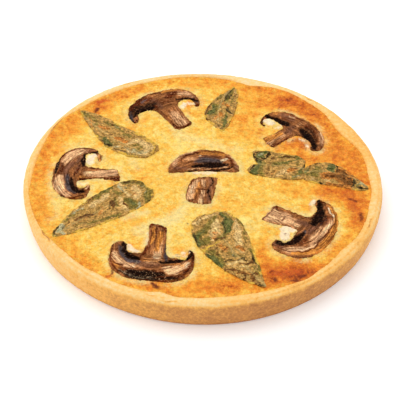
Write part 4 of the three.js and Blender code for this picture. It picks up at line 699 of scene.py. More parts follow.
# Cream that lies in the hollows of the slices, in each slice's own frame.
CREAM = {
    "mushroom_back_left": [
        (1.4, 1, (9, -5.6, 1.8), (12, -2.8, 2)),
        (1.4, 0.7, (15.6, -2.6, 1.6), (18.6, -5, 1.6)),
    ],
    "mushroom_back_right": [
        (1.6, 0.95, (-20.6, -5, 2.6), (-16.6, -4.6, 2.8)),
        (1.4, 0.6, (-10.4, -5, 1.6), (-10, -1.6, 1.4)),
        (1.1, 0.7, (8.6, -2, 0.6), (13, -2, 0.8)),
        (1.1, 0.7, (16.6, -3, 1.2), (19.4, -4, 1)),
    ],
    "mushroom_left": [
        (1.6, 0.5, (-8, 2, 1.8), (-11, -1, 2.4), (-9, -4, 1.4)),
        (1.5, 1, (13, -4, 2.4), (18, -4.6, 2.8), (20, -7.6, 1.6)),
    ],
    "mushroom_front": [
        (1.4, 0.5, (-20, -2.8, 1.4), (-13, -2.4, 1.4)),
        (1.2, 0.8, (-18.6, -5.6, 1.4)),
        (1.4, 1, (9.4, -5, 1.4), (13.6, -6.6, 1.8), (15.4, -9.6, 1.4)),
        (1.8, 0.6, (5, -22, 1), (4, -12, 1.4)),
    ],
    "mushroom_right": [
        (1.4, 1, (5.6, -3.6, 2), (7, -8, 2.8), (12.4, -6, 3.4), (16, -4, 1.8)),
        (1.3, 0.8, (-25.6, -6.6, 1.8), (-23, -6.4, 2)),
    ],
    "mushroom_centre_cap": [
        (1.8, 0.8, (-8, -1.6, 1.2), (-1, -2, 1.6), (6, -1.4, 1.2)),
    ],
}

# Small dark bits on the custard beside the slices, in each slice's own frame.
BITS = {
    "mushroom_back_right": [
        (0.8, 0.8, (6.4, -7, 0.6), (6.8, -8.6, 0.5)),
        (0.8, 0.6, (18.4, -6.4, 0.4), (19.6, -8.4, 0.4)),
        (0.8, 0.7, (-25.4, 13.6, 0.6)),
        (0.7, 0.5, (-14, -4.6, 0.4), (-12, -8, 0.4)),
    ],
    "mushroom_left": [
        (0.9, 0.8, (14, -10.6, 0.6), (20, -11.6, 0.8)),
        (1.2, 0.4, (-13, -1, 0.8), (-10, 1.4, 0.6)),
        (1.2, 0.35, (-7, -2, 0.8), (-8, 2, 0.6)),
    ],
    "mushroom_front": [
        (1, 0.8, (-5.4, 25.8, 1.2), (-3, 24.6, 1.5), (-1.4, 22.4, 0.9)),
        (0.8, 0.7, (24, 15.4, 0.5), (23.4, 18, 0.4)),
        (0.8, 0.7, (-16, -4, 0.6), (-14, -3, 0.5)),
        (1.2, 0.4, (-17, -2, 0.8), (-11, -0.8, 0.8)),
        (0.7, 0.6, (5.6, -26, 0.4)),
    ],
    "mushroom_right": [
        (0.7, 0.7, (10.4, -6, 0.7), (12.4, -6, 0.6)),
        (0.7, 0.7, (17, -4.4, 0.5)),
        (0.7, 0.6, (6, -1.6, 0.8), (8, -1.2, 0.6)),
        (0.6, 0.6, (-26, -5.6, 0.5)),
    ],
}

# ---- Colours and numbers ----

SCENE_LIGHT = 1.35  # how many times its own colour a level surface shows in the stage's light
WHITE = (1, 1, 1, 1)


def linear(value):
    """Light of one channel of a screen colour from 0 to 255."""
    value /= 255
    return value / 12.92 if value <= 0.04045 else ((value + 0.055) / 1.055) ** 2.4


def colour(name, description, *channels):
    """Colour property whose default shows as the given screen colour in the stage's light."""
    default = [linear(channel) / SCENE_LIGHT for channel in channels]
    return bpy.props.FloatVectorProperty(
        name=name, description=description, subtype="COLOR", size=3, min=0, max=1, default=default)


def length(name, description, default):
    """Length property, in millimetres."""
    return bpy.props.FloatProperty(name=name, description=f"{description}, in mm", default=default, min=0)


def angle(name, description, degrees):
    """Angle property."""
    return bpy.props.FloatProperty(
        name=name, description=description, default=math.radians(degrees), subtype="ANGLE")


def smoothstep(low, high, values):
    """0 below low, 1 above high and a smooth rise between them."""
    share = np.clip((values - low) / (high - low), 0, 1)
    return share * share * (3 - 2 * share)


def lattice(cells, seed):
    """Random value from 0 to 1 for each whole-numbered cell, the same in each run."""
    factors = (374761393, 668265263, 2147483647)
    total = sum(cells[:, axis] * factors[axis] for axis in range(cells.shape[1]))
    total = (total + seed * 974634777) & 0xFFFFFFFF
    total = ((total ^ (total >> 13)) * 1274126177) & 0xFFFFFFFF
    return ((total ^ (total >> 16)) & 0xFFFFFF) / 0xFFFFFF


def noise(points, size, seed, octaves=1):
    """Smooth noise from -1 to 1 at points in mm, with features of about the given size."""
    total = np.zeros(len(points))
    reach = 0.0
    for octave in range(octaves):
        scaled = points / (size * 0.5 ** octave)
        cells = np.floor(scaled).astype(np.int64)
        part = scaled - cells
        part = part ** 3 * (part * (part * 6 - 15) + 10)
        value = np.zeros(len(points))
        for corner in itertools.product((0, 1), repeat=points.shape[1]):
            weight = np.prod(np.where(corner, part, 1 - part), axis=1)
            value += weight * lattice(cells + np.array(corner), seed + 17 * octave)
        total += (2 * value - 1) * 0.5 ** octave
        reach += 0.5 ** octave
    return total / reach


def hill(values, spread):
    """1 where the values are 0, and a smooth fall to 0 beyond the spread."""
    return np.exp(-(values / spread) ** 2)


# ---- Outlines, strokes and meshes ----

def node_points(node):
    """Vertices of a CAD node, in mm."""
    return np.array([vertex.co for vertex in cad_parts[node].data.vertices]) / MM


def node_outline(node):
    """Plan outline of a CAD node, anticlockwise: the rim of its faces that look down."""
    plan, index = np.unique(np.round(node_points(node)[:, :2], 2), axis=0, return_inverse=True)
    index = index.ravel()
    edges = set()
    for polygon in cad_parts[node].data.polygons:
        if polygon.normal.z > -0.5:
            continue
        ring = [int(index[vertex]) for vertex in polygon.vertices]
        for edge in zip(ring, ring[1:] + ring[:1]):
            if edge[::-1] in edges:
                edges.remove(edge[::-1])
            else:
                edges.add(edge)
    follows = {}
    for start, end in sorted(edges):
        follows.setdefault(start, []).append(end)
    # A face may be missing inside, so the rim is the longest of the loops that the edges make.
    longest = []
    while follows:
        chain = [min(follows)]
        while chain[-1] in follows:
            following = follows[chain[-1]].pop()
            if not follows[chain[-1]]:
                del follows[chain[-1]]
            if following in chain:
                first = chain.index(following)
                longest = max(longest, chain[first:], key=len)
                chain = chain[:first + 1]
            else:
                chain.append(following)
    return plan[longest[::-1]]


def curve_point(before, here, there, beyond, part):
    """Point of a smooth curve between two of four corners: here at part 0 and there at part 1."""
    return 0.5 * (2 * here + (there - before) * part
                  + (2 * before - 5 * here + 4 * there - beyond) * part ** 2
                  + (3 * here - before - 3 * there + beyond) * part ** 3)


def smooth_path(points, spacing, closed):
    """Points about a spacing apart on a smooth curve through the given rows."""
    points = np.asarray(points, float)
    if closed:
        ends = np.vstack([points[-1:], points, points[:2]])
    else:
        ends = np.vstack([points[:1], points, points[-1:]])
    curve = []
    for before, here, there, beyond in zip(ends, ends[1:], ends[2:], ends[3:]):
        count = max(1, round(float(np.linalg.norm((there - here)[:2])) / spacing))
        curve.append(curve_point(before, here, there, beyond, np.arange(count)[:, None] / count))
    if not closed:
        curve.append(points[-1:])
    return np.vstack(curve)


def signed_distance(points, outline):
    """Distance from each plan point to a closed outline, positive inside it."""
    runs = np.roll(outline, -1, axis=0) - outline
    lengths = np.maximum((runs ** 2).sum(axis=1), 1e-9)
    rises = np.where(runs[:, 1] == 0, 1e-9, runs[:, 1])
    distance = []
    for first in range(0, len(points), BLOCK):
        offset = points[first:first + BLOCK, None] - outline[None]
        share = np.clip((offset * runs).sum(axis=2) / lengths, 0, 1)
        gap = offset - share[..., None] * runs
        nearest = np.sqrt((gap ** 2).sum(axis=2).min(axis=1))
        above = offset[..., 1] < 0
        crosses = above != np.roll(above, -1, axis=1)
        right = runs[:, 0] * offset[..., 1] / rises > offset[..., 0]
        inside = (crosses & right).sum(axis=1) % 2 == 1
        distance.append(np.where(inside, nearest, -nearest))
    return np.concatenate(distance)


def near_outline(points, outline, margin):
    """Signed distance for the points within a margin of an outline, and minus the margin elsewhere."""
    low = outline.min(axis=0) - margin
    high = outline.max(axis=0) + margin
    close = ((points > low) & (points < high)).all(axis=1)
    distance = np.full(len(points), -float(margin))
    if close.any():
        distance[close] = np.maximum(signed_distance(points[close], outline), -margin)
    return distance


def stroke(points, path, softness):
    """Mask of a tapered stroke: 1 along it, 0.5 at its edge and 0 outside, over the softness."""
    path = np.asarray(path, float)
    if len(path) > 2:
        path = smooth_path(path, 2.0, closed=False)
    if len(path) == 1:
        path = np.vstack([path, path])
    depth = np.full(len(points), -np.inf)
    for start, end in zip(path, path[1:]):
        run = (end - start)[:2]
        offset = points - start[:2]
        share = np.clip(offset @ run / max(float(run @ run), 1e-9), 0, 1)
        gap = np.linalg.norm(offset - share[:, None] * run, axis=1)
        depth = np.maximum(depth, start[2] + share * (end[2] - start[2]) - gap)
    return smoothstep(-softness, softness, depth)


def painted(points, strokes, channels):
    """Masks of the named channels: of the strokes in a channel, the strongest counts."""
    masks = {channel: np.zeros(len(points)) for channel in channels}
    for channel, softness, strength, *path in strokes:
        masks[channel] = np.maximum(masks[channel], strength * stroke(points, path, softness))
    return masks


def to_plan(name, points):
    """Points of a topping's own frame in the quiche's frame."""
    x, y, heading = PLACES[name]
    turn = math.radians(heading - 90)
    spin = np.array([[math.cos(turn), math.sin(turn)], [-math.sin(turn), math.cos(turn)]])
    return points @ spin + (x, y)


def to_local(name, points):
    """Points of the quiche's frame in a topping's own frame."""
    x, y, heading = PLACES[name]
    turn = math.radians(heading - 90)
    spin = np.array([[math.cos(turn), -math.sin(turn)], [math.sin(turn), math.cos(turn)]])
    return (points - (x, y)) @ spin


def warped(points, amount, size, seed):
    """Points moved about by noise, which makes whatever is drawn at them uneven."""
    shift = np.column_stack([noise(points, size, seed), noise(points, size, seed + 1)])
    return points + amount * shift


def ragged_outline(outline, amount, size, seed):
    """A closed outline made uneven, coarsely and finely, and less so where it would cross itself."""
    for share in (1, 0.6, 0.3):
        ragged = warped(outline, share * amount, size, seed)
        ragged = warped(ragged, 0.35 * share * amount, 0.4 * size, seed + 5)
        if len(cover(ragged)[0]) == len(ragged):
            return ragged
    return outline


def cover(points, rim=None):
    """Plan points and triangles inside the outline that the first points make."""
    rim = len(points) if rim is None else rim
    edges = [(i, (i + 1) % rim) for i in range(rim)]
    result = geometry.delaunay_2d_cdt([Vector(point) for point in points], edges, [], 1, 1e-5)
    return np.array(result[0]), [list(face) for face in result[2]]


def filled(outline, spacing, seed):
    """Plan points and triangles that fill an outline evenly, with the outline's points first."""
    low = outline.min(axis=0)
    high = outline.max(axis=0)
    rows = np.arange(low[1], high[1], spacing * math.sqrt(0.75))
    inner = []
    for number, y in enumerate(rows):
        x = np.arange(low[0] + (number % 2) * spacing / 2, high[0], spacing)
        inner.append(np.column_stack([x, np.full(len(x), y)]))
    inner = warped(np.vstack(inner), 0.15 * spacing, spacing, seed)
    inner = inner[signed_distance(inner, outline) > 0.6 * spacing]
    points = np.vstack([outline, inner])
    covered, faces = cover(points, len(outline))
    if len(covered) != len(points):
        raise RuntimeError("an outline crosses itself")
    return covered, faces


def ring_steps(count):
    """Numbers of the points of a ring, and of the points that follow them."""
    step = np.arange(count)
    return step, (step + 1) % count


def band(upper, lower, count):
    """Faces between two rings, given by the numbers of their first points."""
    step, following = ring_steps(count)
    return np.column_stack([upper + step, lower + step, lower + following, upper + following]).tolist()


def fan(middle, first, count):
    """Triangles that look down, between a point and the ring that starts with the first point."""
    step, following = ring_steps(count)
    return np.column_stack([np.full(count, middle), first + following, first + step]).tolist()


def turned_over(faces, first=0):
    """Faces that look the other way, with the first point's number added to each."""
    return [[first + index for index in face[::-1]] for face in faces]


def build_mesh(name, points, faces, masks):
    """Smooth mesh object from points in mm, with its masks as point attributes."""
    old = bpy.data.objects.get(name)
    if old is not None:
        bpy.data.objects.remove(old)
    mesh = bpy.data.meshes.new(name)
    mesh.from_pydata((points * MM).tolist(), [], faces)
    mesh.polygons.foreach_set("use_smooth", [True] * len(mesh.polygons))
    for mask, values in masks.items():
        kind, field = ("FLOAT", "value") if values.ndim == 1 else ("FLOAT_VECTOR", "vector")
        attribute = mesh.attributes.new(mask, kind, "POINT")
        attribute.data.foreach_set(field, values.astype(np.float32).ravel())
    mesh.validate()
    mesh.update()
    piece = bpy.data.objects.new(name, mesh)
    bpy.context.scene.collection.objects.link(piece)
    return piece


def dress(piece, material, node):
    """Gives a piece its material and its place in the frame."""
    piece.data.materials.append(material)
    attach(piece, BODY)
    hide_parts(node)


# ---- Shader nodes ----

class Wire:
    """Output of a shader node. Sums, differences and products of wires are Math nodes."""

    def __init__(self, tree, socket):
        self.tree = tree
        self.socket = socket

    def __add__(self, other):
        return compute(self.tree, "ADD", self, other)

    def __sub__(self, other):
        return compute(self.tree, "SUBTRACT", self, other)

    def __rsub__(self, other):
        return compute(self.tree, "SUBTRACT", other, self)

    def __mul__(self, other):
        return compute(self.tree, "MULTIPLY", self, other)

    __radd__ = __add__
    __rmul__ = __mul__


def connect(tree, node, inputs):
    """Sets the inputs of a node: a wire is linked, and anything else is the socket's value."""
    for socket, value in inputs.items():
        if isinstance(value, Wire):
            tree.links.new(value.socket, node.inputs[socket])
        else:
            node.inputs[socket].default_value = value


def add(tree, kind, inputs, output=0, **settings):
    """Adds a node and gives one of its outputs."""
    node = tree.nodes.new(kind)
    for setting, value in settings.items():
        setattr(node, setting, value)
    connect(tree, node, inputs)
    return Wire(tree, node.outputs[output])


def compute(tree, operation, *values):
    """Result of a Math node."""
    return add(tree, "ShaderNodeMath", dict(enumerate(values)), operation=operation)


def opaque(value):
    """A colour with the fourth number that a colour socket takes; wires stay as they are."""
    return value if isinstance(value, Wire) else (*value[:3], 1)


def mixed(tree, factor, first, second, blend="MIX"):
    """Colour between two colours, or their product with the blend MULTIPLY."""
    inputs = {0: factor, 6: opaque(first), 7: opaque(second)}
    return add(tree, "ShaderNodeMix", inputs, 2, data_type="RGBA", blend_type=blend, clamp_result=True)


def ramp(tree, factor, stops):
    """Colour of a ramp whose stops are (place, colour)."""
    shade = add(tree, "ShaderNodeValToRGB", {"Fac": factor}, "Color")
    elements = shade.socket.node.color_ramp.elements
    while len(elements) < len(stops):
        elements.new(0.5)
    for element, (place, stop) in zip(elements, stops):
        element.position = place
        element.color = opaque(stop)
    return shade


def tinted(tree, shade, factor, stops, amount=1.0):
    """Colour multiplied by that of a ramp."""
    return mixed(tree, amount, shade, ramp(tree, factor, stops), "MULTIPLY")


def attribute(tree, name, output="Fac"):
    """Point attribute of the mesh."""
    return add(tree, "ShaderNodeAttribute", {}, output, attribute_name=name)


def noise_texture(tree, vector, scale, detail=2.0, roughness=0.5, output="Fac"):
    """Noise. Its scale is in features per metre, or per mm where the vector is in mm."""
    inputs = {"Vector": vector, "Scale": scale, "Detail": detail, "Roughness": roughness}
    return add(tree, "ShaderNodeTexNoise", inputs, output)


def smooth_range(tree, value, low, high, from_value=0.0, to_value=1.0):
    """Smooth change of a value between a low and a high one."""
    inputs = {"Value": value, "From Min": low, "From Max": high, "To Min": from_value, "To Max": to_value}
    return add(tree, "ShaderNodeMapRange", inputs, interpolation_type="SMOOTHSTEP")


def bump(tree, height, distance):
    """Normal of a bumped surface, with the height's full range in metres."""
    return add(tree, "ShaderNodeBump", {"Height": height, "Distance": distance, "Strength": 1.0}, "Normal")


def ragged_mask(group, mask, grain, raggedness, softness):
    """Mask whose soft edge is broken up by noise, as where one tissue or crust meets another."""
    spread = smooth_range(group, mask + (grain - 0.5) * raggedness, 0.5 - softness, 0.5 + softness)
    # Where nothing is painted at all, noise alone shows nothing.
    return spread * compute(group, "MINIMUM", mask * 8.0, 1.0)


def mottle(group, shade, place, scale, amount):
    """Colour made lighter and darker in patches, coarse and fine."""
    fine_share = 0.7
    coarse = noise_texture(group, place, scale, 3.0, 0.6)
    fine = noise_texture(group, place, scale * 4.3, 2.0, 0.6)
    factor = (coarse + fine * fine_share - (1 + fine_share) / 2) * amount + 1.0
    grey = add(group, "ShaderNodeCombineColor", {"Red": factor, "Green": factor, "Blue": factor})
    return mixed(group, 1.0, shade, grey, "MULTIPLY")


def pores(group, place, scale, pits):
    """Height of a surface with fine grain and small pits, from 0 to about 1."""
    grain = noise_texture(group, place, scale, 4.0, 0.65)
    inputs = {"Vector": place, "Scale": scale, "Randomness": 1.0}
    cells = add(group, "ShaderNodeTexVoronoi", inputs, "Distance")
    return grain + smooth_range(group, cells, 0.08, 0.4) * pits


# The node groups: what works each of them out, its output, and its inputs with their defaults.
GROUPS = {
    "Ragged mask": (ragged_mask, "Mask", {"Mask": 0.0, "Noise": 0.5, "Raggedness": 0.6, "Softness": 0.2}),
    "Mottle": (mottle, "Color", {"Color": WHITE, "Place": (0, 0, 0), "Scale": 300.0, "Amount": 0.2}),
    "Pores": (pores, "Height", {"Place": (0, 0, 0), "Scale": 500.0, "Pits": 0.5}),
}
SOCKET_KINDS = {"Color": "NodeSocketColor", "Place": "NodeSocketVector"}  # the rest are plain numbers


def shared_group(name):
    """Node group, which is made the first time that it is asked for."""
    group = bpy.data.node_groups.get(name)
    if group is not None:
        return group
    group = bpy.data.node_groups.new(name, "ShaderNodeTree")
    recipe, output, inputs = GROUPS[name]
    for label, value in inputs.items():
        kind = SOCKET_KINDS.get(label, "NodeSocketFloat")
        group.interface.new_socket(label, in_out="INPUT", socket_type=kind).default_value = value
    kind = SOCKET_KINDS.get(output, "NodeSocketFloat")
    group.interface.new_socket(output, in_out="OUTPUT", socket_type=kind)
    given = group.nodes.new("NodeGroupInput")
    wires = [Wire(group, given.outputs[label]) for label in inputs]
    connect(group, group.nodes.new("NodeGroupOutput"), {output: recipe(group, *wires)})
    return group


def use_group(tree, name, **inputs):
    """Places a node group and gives its output."""
    return add(tree, "ShaderNodeGroup", inputs, node_tree=shared_group(name))


def new_material(name):
    """Fresh material, with its nodes, its Principled shader and the place on the object in metres."""
    old = bpy.data.materials.get(name)
    if old is not None:
        bpy.data.materials.remove(old)
    material = bpy.data.materials.new(name)
    material.use_nodes = True
    tree = material.node_tree
    return material, tree, tree.nodes["Principled BSDF"], add(tree, "ShaderNodeTexCoord", {}, "Object")


def layered(tree, base, settings, channels, grain, raggedness, softness):
    """Colours of the channels laid over a base, each where its painted mask says, and the masks."""
    masks = {}
    for channel, setting in channels.items():
        masks[channel] = use_group(tree, "Ragged mask", Mask=attribute(tree, channel), Noise=grain,
                                   Raggedness=raggedness, Softness=softness)
        base = mixed(tree, masks[channel], base, getattr(settings, setting))
    return base, masks


# ---- Shape of the shell and of the custard's surface ----

def at_radius(radius, azimuths):
    """Plan points at a radius, in directions in degrees."""
    turn = np.radians(azimuths)
    return np.column_stack([radius * np.cos(turn), radius * np.sin(turn)])


def azimuth_of(plan):
    return np.degrees(np.arctan2(plan[:, 1], plan[:, 0]))


def shell_measures():
    """Directions of the CAD crust's facets, and its wall, lip and filling there."""
    points = node_points("crust")
    radius = np.hypot(points[:, 0], points[:, 1])
    keep = radius > 0.5 * radius.max()
    points = points[keep]
    radius = radius[keep]
    direction = np.round(azimuth_of(points), 1) % 360
    rows = []
    for azimuth in np.unique(direction):
        here = direction == azimuth
        inner = radius[here & (points[:, 2] > 0.5 * FLOOR)].min()
        rows.append((azimuth, radius[here].max(), points[here, 2].max(), inner))
    return np.array(rows).T


MEASURES = shell_measures()


def around(azimuths, values):
    """A measure of the shell in any direction, in degrees."""
    return np.interp(azimuths, MEASURES[0], values, period=360)


def wall_radius(azimuths):
    return around(azimuths, MEASURES[1])


def lip_height(azimuths):
    return around(azimuths, MEASURES[2])


def filling_radius(azimuths):
    return around(azimuths, MEASURES[3])


def custard_height(plan):
    """Height of the custard's slow waves, in mm."""
    reach = np.minimum(1, np.hypot(plan[:, 0], plan[:, 1]) / filling_radius(azimuth_of(plan)))
    height = LEVEL + MENISCUS * reach ** 16
    for wave_length, heading, phase in WAVES:
        turn = math.radians(heading)
        along = plan @ (math.cos(turn), math.sin(turn))
        height = height + WAVE_HEIGHT * np.sin(2 * math.pi * along / wave_length + phase)
    return height


def traced_outline(name):
    """Even, smooth outline of a topping's solid, with its slice's small bays drawn in."""
    local = to_local(name, node_outline(name))
    for u, v, reach, across, along in OUTLINE_SHIFTS.get(name, ()):
        near = np.exp(-((local[:, 0] - u) ** 2 + (local[:, 1] - v) ** 2) / reach ** 2)
        local = local + near[:, None] * (across, along)
    return smooth_path(to_plan(name, local), OUTLINE_SPACING, closed=True)


OUTLINES = {name: traced_outline(name) for name in PLACES}


# ---- Pastry ----

class PastrySettings(bpy.types.PropertyGroup):
    pale: colour("Pale pastry", "The palest parts of the lip", 270, 248, 204)
    cream: colour("Cream pastry", "Most of the lip", 276, 228, 146)
    golden: colour("Golden pastry", "Outer side of the lip and the upper wall", 276, 204, 100)
    baked: colour("Baked pastry", "Most of the wall", 228, 157, 82)
    toasted: colour("Toasted pastry", "The darkest freckles and edges", 182, 113, 62)
    dents: length("Dents", "Depth of the shallow dents of a hand-pressed wall", 0.22)
    crumb: length("Crumb", "Depth of the fine crumb", 0.1)
    groove: length("Groove", "Depth of the groove along the lip", 0.35)
    around: bpy.props.IntProperty(
        name="Steps round", description="Divisions round the rim", default=900, min=90)


# Parts of the lip where a shallow groove runs along it: direction, spread, strength.
LIP_GROOVES = [(305, 26, 1.0), (345, 20, 0.7), (30, 24, 0.8), (75, 14, 0.5), (232, 20, 0.8), (160, 16, 0.5)]

# Bake of the wall, the lip and the filling's rim round the quiche: direction, spread, change. On the wall
# this is partly painted light: the paler band at 336 degrees lies on a side in shade.
WALL_BAKE_AND_LIGHT = [(290, 48, 0.13), (208, 40, -0.32), (336, 16, -0.12), (90, 70, -0.1)]
LIP_BAKE = [(305, 40, 0.08), (20, 24, 0.14), (85, 32, -0.04), (195, 24, 0.12)]
RIM_BAKE = [(158, 20, 0.3)]

# Splits and flaps of the pastry's lip: direction, distance in from the wall, length in degrees.
LIP_CRACKS = [
    (256, 4.4, 3.0), (261, 2.2, 2.4), (212, 3.6, 3.2), (338, 3.4, 2.6), (118, 3.0, 2.8), (48, 3.6, 3.0),
]

# Steps of the section from each corner to the next, from the foot to the filling.
SECTION_STEPS = (3, 3, 7, 6, 4, 3, 4, 3, 4, 2)
LIP_ROWS = 6  # rows outside the crest that belong to the lip
WALL_TOP = 13  # height up to which everything outside is wall


def turn_from(azimuths, direction):
    """Angle from a direction, from -180 to 180 degrees."""
    return (azimuths - direction + 180) % 360 - 180


def bumps_round(azimuths, bumps):
    """Sum of smooth bumps round given directions."""
    return sum(by * hill(turn_from(azimuths, at), spread) for at, spread, by in bumps)


def shell_rows(azimuths):
    """Smooth section of the shell, as rows of radius and height for each direction, and the
    number of the crest's row."""
    wall = wall_radius(azimuths)
    top = lip_height(azimuths)
    inner = filling_radius(azimuths)
    brim = custard_height(at_radius(inner, azimuths))
    outside = [(wall - inset, top * rise) for inset, rise in WALL_PROFILE]
    crest = outside[-1][0]
    corners = np.array(outside + [
        (np.minimum(crest - 0.4, inner + LIP_SHOULDER), top - 0.15),
        (inner + 0.6, (top + brim) / 2 + 0.15),
        (inner - 0.1, brim + 0.2),
    ])
    rows = []
    ends = np.concatenate([corners[:1], corners, corners[-1:]])
    for count, *four in zip(SECTION_STEPS, ends, ends[1:], ends[2:], ends[3:]):
        rows += [curve_point(*four, part) for part in np.arange(count) / count]
    rows.append(corners[-1])
    return np.array(rows), sum(SECTION_STEPS[:len(WALL_PROFILE) - 1])


def crust_material(settings):
    """Shortcrust: pale on the lip, golden on the wall, freckled, with a fine crumb."""
    material, tree, shader, place = new_material("Baked shortcrust")
    freckles = noise_texture(tree, place, 520.0, 3.0, 0.7)
    patches = noise_texture(tree, place, 110.0, 3.0, 0.55)
    bake = attribute(tree, "bake") + (patches - 0.5) * 0.16 + (freckles - 0.5) * 0.74
    shade = ramp(tree, bake, [(0.0, settings.pale), (0.28, settings.cream), (0.5, settings.golden),
                              (0.76, settings.baked), (1.0, settings.toasted)])
    height = use_group(tree, "Pores", Place=place, Scale=900.0, Pits=0.35)
    connect(tree, shader, {
        "Base Color": use_group(tree, "Mottle", Color=shade, Place=place, Scale=420.0, Amount=0.14),
        "Normal": bump(tree, height, 0.0004),
        "Roughness": freckles * 0.2 + 0.62,
        "Specular IOR Level": 0.3,
    })
    return material


def crust_bake(azimuth, inward, height, outside, points):
    """How far each place is baked, from 0, pale, to 1, toasted, with painted shade at the foot and painted
    light on part of the wall.
    """
    # The wall is darker towards the foot: partly a darker baked foot, partly painted contact shadow where
    # the wall meets the floor.
    wall = 0.68 + bumps_round(azimuth, WALL_BAKE_AND_LIGHT) + 0.14 * smoothstep(2.6, 0.4, height)
    lip = 0.27 + bumps_round(azimuth, LIP_BAKE) + 0.1 * noise(points, 14.0, 41, octaves=2)
    shoulder = np.where(height < WALL_TOP, 1.0, smoothstep(1.3, -0.1, inward)) * outside
    bake = lip + (wall - lip) * shoulder
    # The rim of the filling is a little darker, and more so where the custard boiled up to it.
    brim = np.hypot(points[:, 0], points[:, 1]) - filling_radius(azimuth)
    bake += np.where(outside, 0, (0.1 + bumps_round(azimuth, RIM_BAKE)) * hill(brim, 1.2))
    return bake + 0.04 * noise(points, 6.0, 43, octaves=2)


def crust_surface(settings):
    """Points of the baked surface, row by row from the foot to the filling, and their bake."""
    azimuths = 360 * np.arange(settings.around) / settings.around
    rows, crest = shell_rows(azimuths)
    azimuth = np.tile(azimuths, len(rows))
    row = np.repeat(np.arange(len(rows)), settings.around)
    radius = rows[:, 0].ravel()
    height = rows[:, 1].ravel()
    points = np.column_stack([at_radius(radius, azimuth), height])
    # The outward direction of the section, for dents and crumb.
    run = np.gradient(rows, axis=0)
    size = np.maximum(np.hypot(run[:, 0], run[:, 1]), 1e-6)
    outward = np.column_stack([at_radius((run[:, 1] / size).ravel(), azimuth), (-run[:, 0] / size).ravel()])
    inward = wall_radius(azimuth) - radius
    over_top = row > crest - LIP_ROWS
    groove = np.clip(bumps_round(azimuth, LIP_GROOVES), 0, 1) * hill(inward - 2.6, 0.8) * over_top
    cracks = np.zeros(len(points))
    for at, inset, spread in LIP_CRACKS:
        gap = turn_from(azimuth, at)
        bend = inset + 0.5 * np.sin(gap * 1.3)
        cracks = np.maximum(cracks, hill(inward - bend, 0.45) * np.exp(-(gap / spread) ** 4))
    cracks = cracks * over_top
    relief = settings.dents * noise(points, 9.0, 11, octaves=2)
    relief += settings.crumb * noise(points, 1.7, 23, octaves=2)
    relief -= 1.6 * settings.crumb * smoothstep(0.35, 0.8, noise(points, 2.6, 31))
    relief -= settings.groove * (groove + 0.5 * cracks)
    relief *= smoothstep(0.2, 2.5, height)
    points = points + outward * relief[:, None]
    bake = crust_bake(azimuth, inward, height, row <= crest, points)
    return points, bake + 0.16 * groove + 0.45 * cracks


def crust_mesh(settings):
    """Closed mesh of the shell, with its underside and the wall inside: points, faces and masks."""
    count = settings.around
    points, bake = crust_surface(settings)
    azimuths = 360 * np.arange(count) / count
    under = np.column_stack([points[:count, :2] * 0.5, np.zeros(count)])
    corner = np.column_stack([at_radius(filling_radius(azimuths), azimuths), np.full(count, FLOOR)])
    floor = corner * (0.5, 0.5, 1)
    halfway = (points[-count:] + corner) / 2
    middles = [[0, 0, 0], [0, 0, FLOOR]]
    every = np.vstack([under, points, halfway, corner, floor, middles])
    hidden = np.repeat([0.3, 0.2, 0.2], count)
    masks = {"bake": np.concatenate([np.full(count, 0.5), bake, hidden, [0.5, 0.2]])}
    step, following = ring_steps(count)
    last = len(every) - len(middles) - count
    faces = fan(len(every) - 2, 0, count) + turned_over(fan(len(every) - 1, last, count))
    for low in range(0, last, count):
        high = low + count
        faces += np.column_stack([low + step, low + following, high + following, high + step]).tolist()
    return every, faces, masks


class QUICHE_OT_crust(bpy.types.Operator):
    """Make the pastry shell with its rounded lip, dents and fine crumb"""

    bl_idname = "quiche.crust"
    bl_label = "Crust"

    def execute(self, context):
        settings = context.scene.quiche_pastry
        piece = build_mesh("Crust", *crust_mesh(settings))
        dress(piece, crust_material(settings), "crust")
        return {"FINISHED"}


# ---- Custard ----

class CustardSettings(bpy.types.PropertyGroup):
    pale: colour("Pale custard", "Custard that has hardly coloured", 277, 241, 136)
    yellow: colour("Yellow custard", "Most of the custard", 274, 217, 92)
    golden: colour("Golden custard", "Lightly browned custard", 270, 187, 63)
    orange: colour("Orange custard", "Browned custard", 255, 149, 42)
    brown: colour("Brown custard", "Well browned custard", 220, 107, 28)
    scorched: colour("Scorched custard", "Burnt specks", 132, 54, 18)
    rust: colour("Rust", "Reddish browned patches", 220, 94, 32)
    # This colour also serves the pale strokes that are partly painted highlight.
    halo: colour("Cream", "Cream-coloured custard near the toppings", 266, 242, 166)
    cream: colour("Cream in hollows", "What lies in the hollows of the slices", 281, 254, 210)
    bumps: length("Bumps", "Height of the bumps of the baked surface", 0.3)
    grain: length("Grain", "Height of its fine grain", 0.15)
    bubbles: length("Bubbles", "Depth of burst bubbles", 0.3)
    collar: length("Collar", "Rise of the custard beside a slice", 0.5)
    rings: bpy.props.IntProperty(
        name="Rings", description="Rings from the middle to the lip", default=138, min=20)


CUSTARD_CHANNELS = {"pale": "halo", "rust": "rust", "cream": "cream", "scorch": "scorched"}
EDGE_UNDER_LIP = 0.35  # how far the custard's edge reaches under the slope of the lip
EDGE_RISE = 0.35  # how far the baked edge rises towards the lip
LEAF_SEAT = 1.5  # how far the custard sinks under a leaf
HALO_REACH = 8.0  # farthest that a topping changes the custard beside it
SLICE_REACH = 40  # farthest that anything lies from the middle of a slice


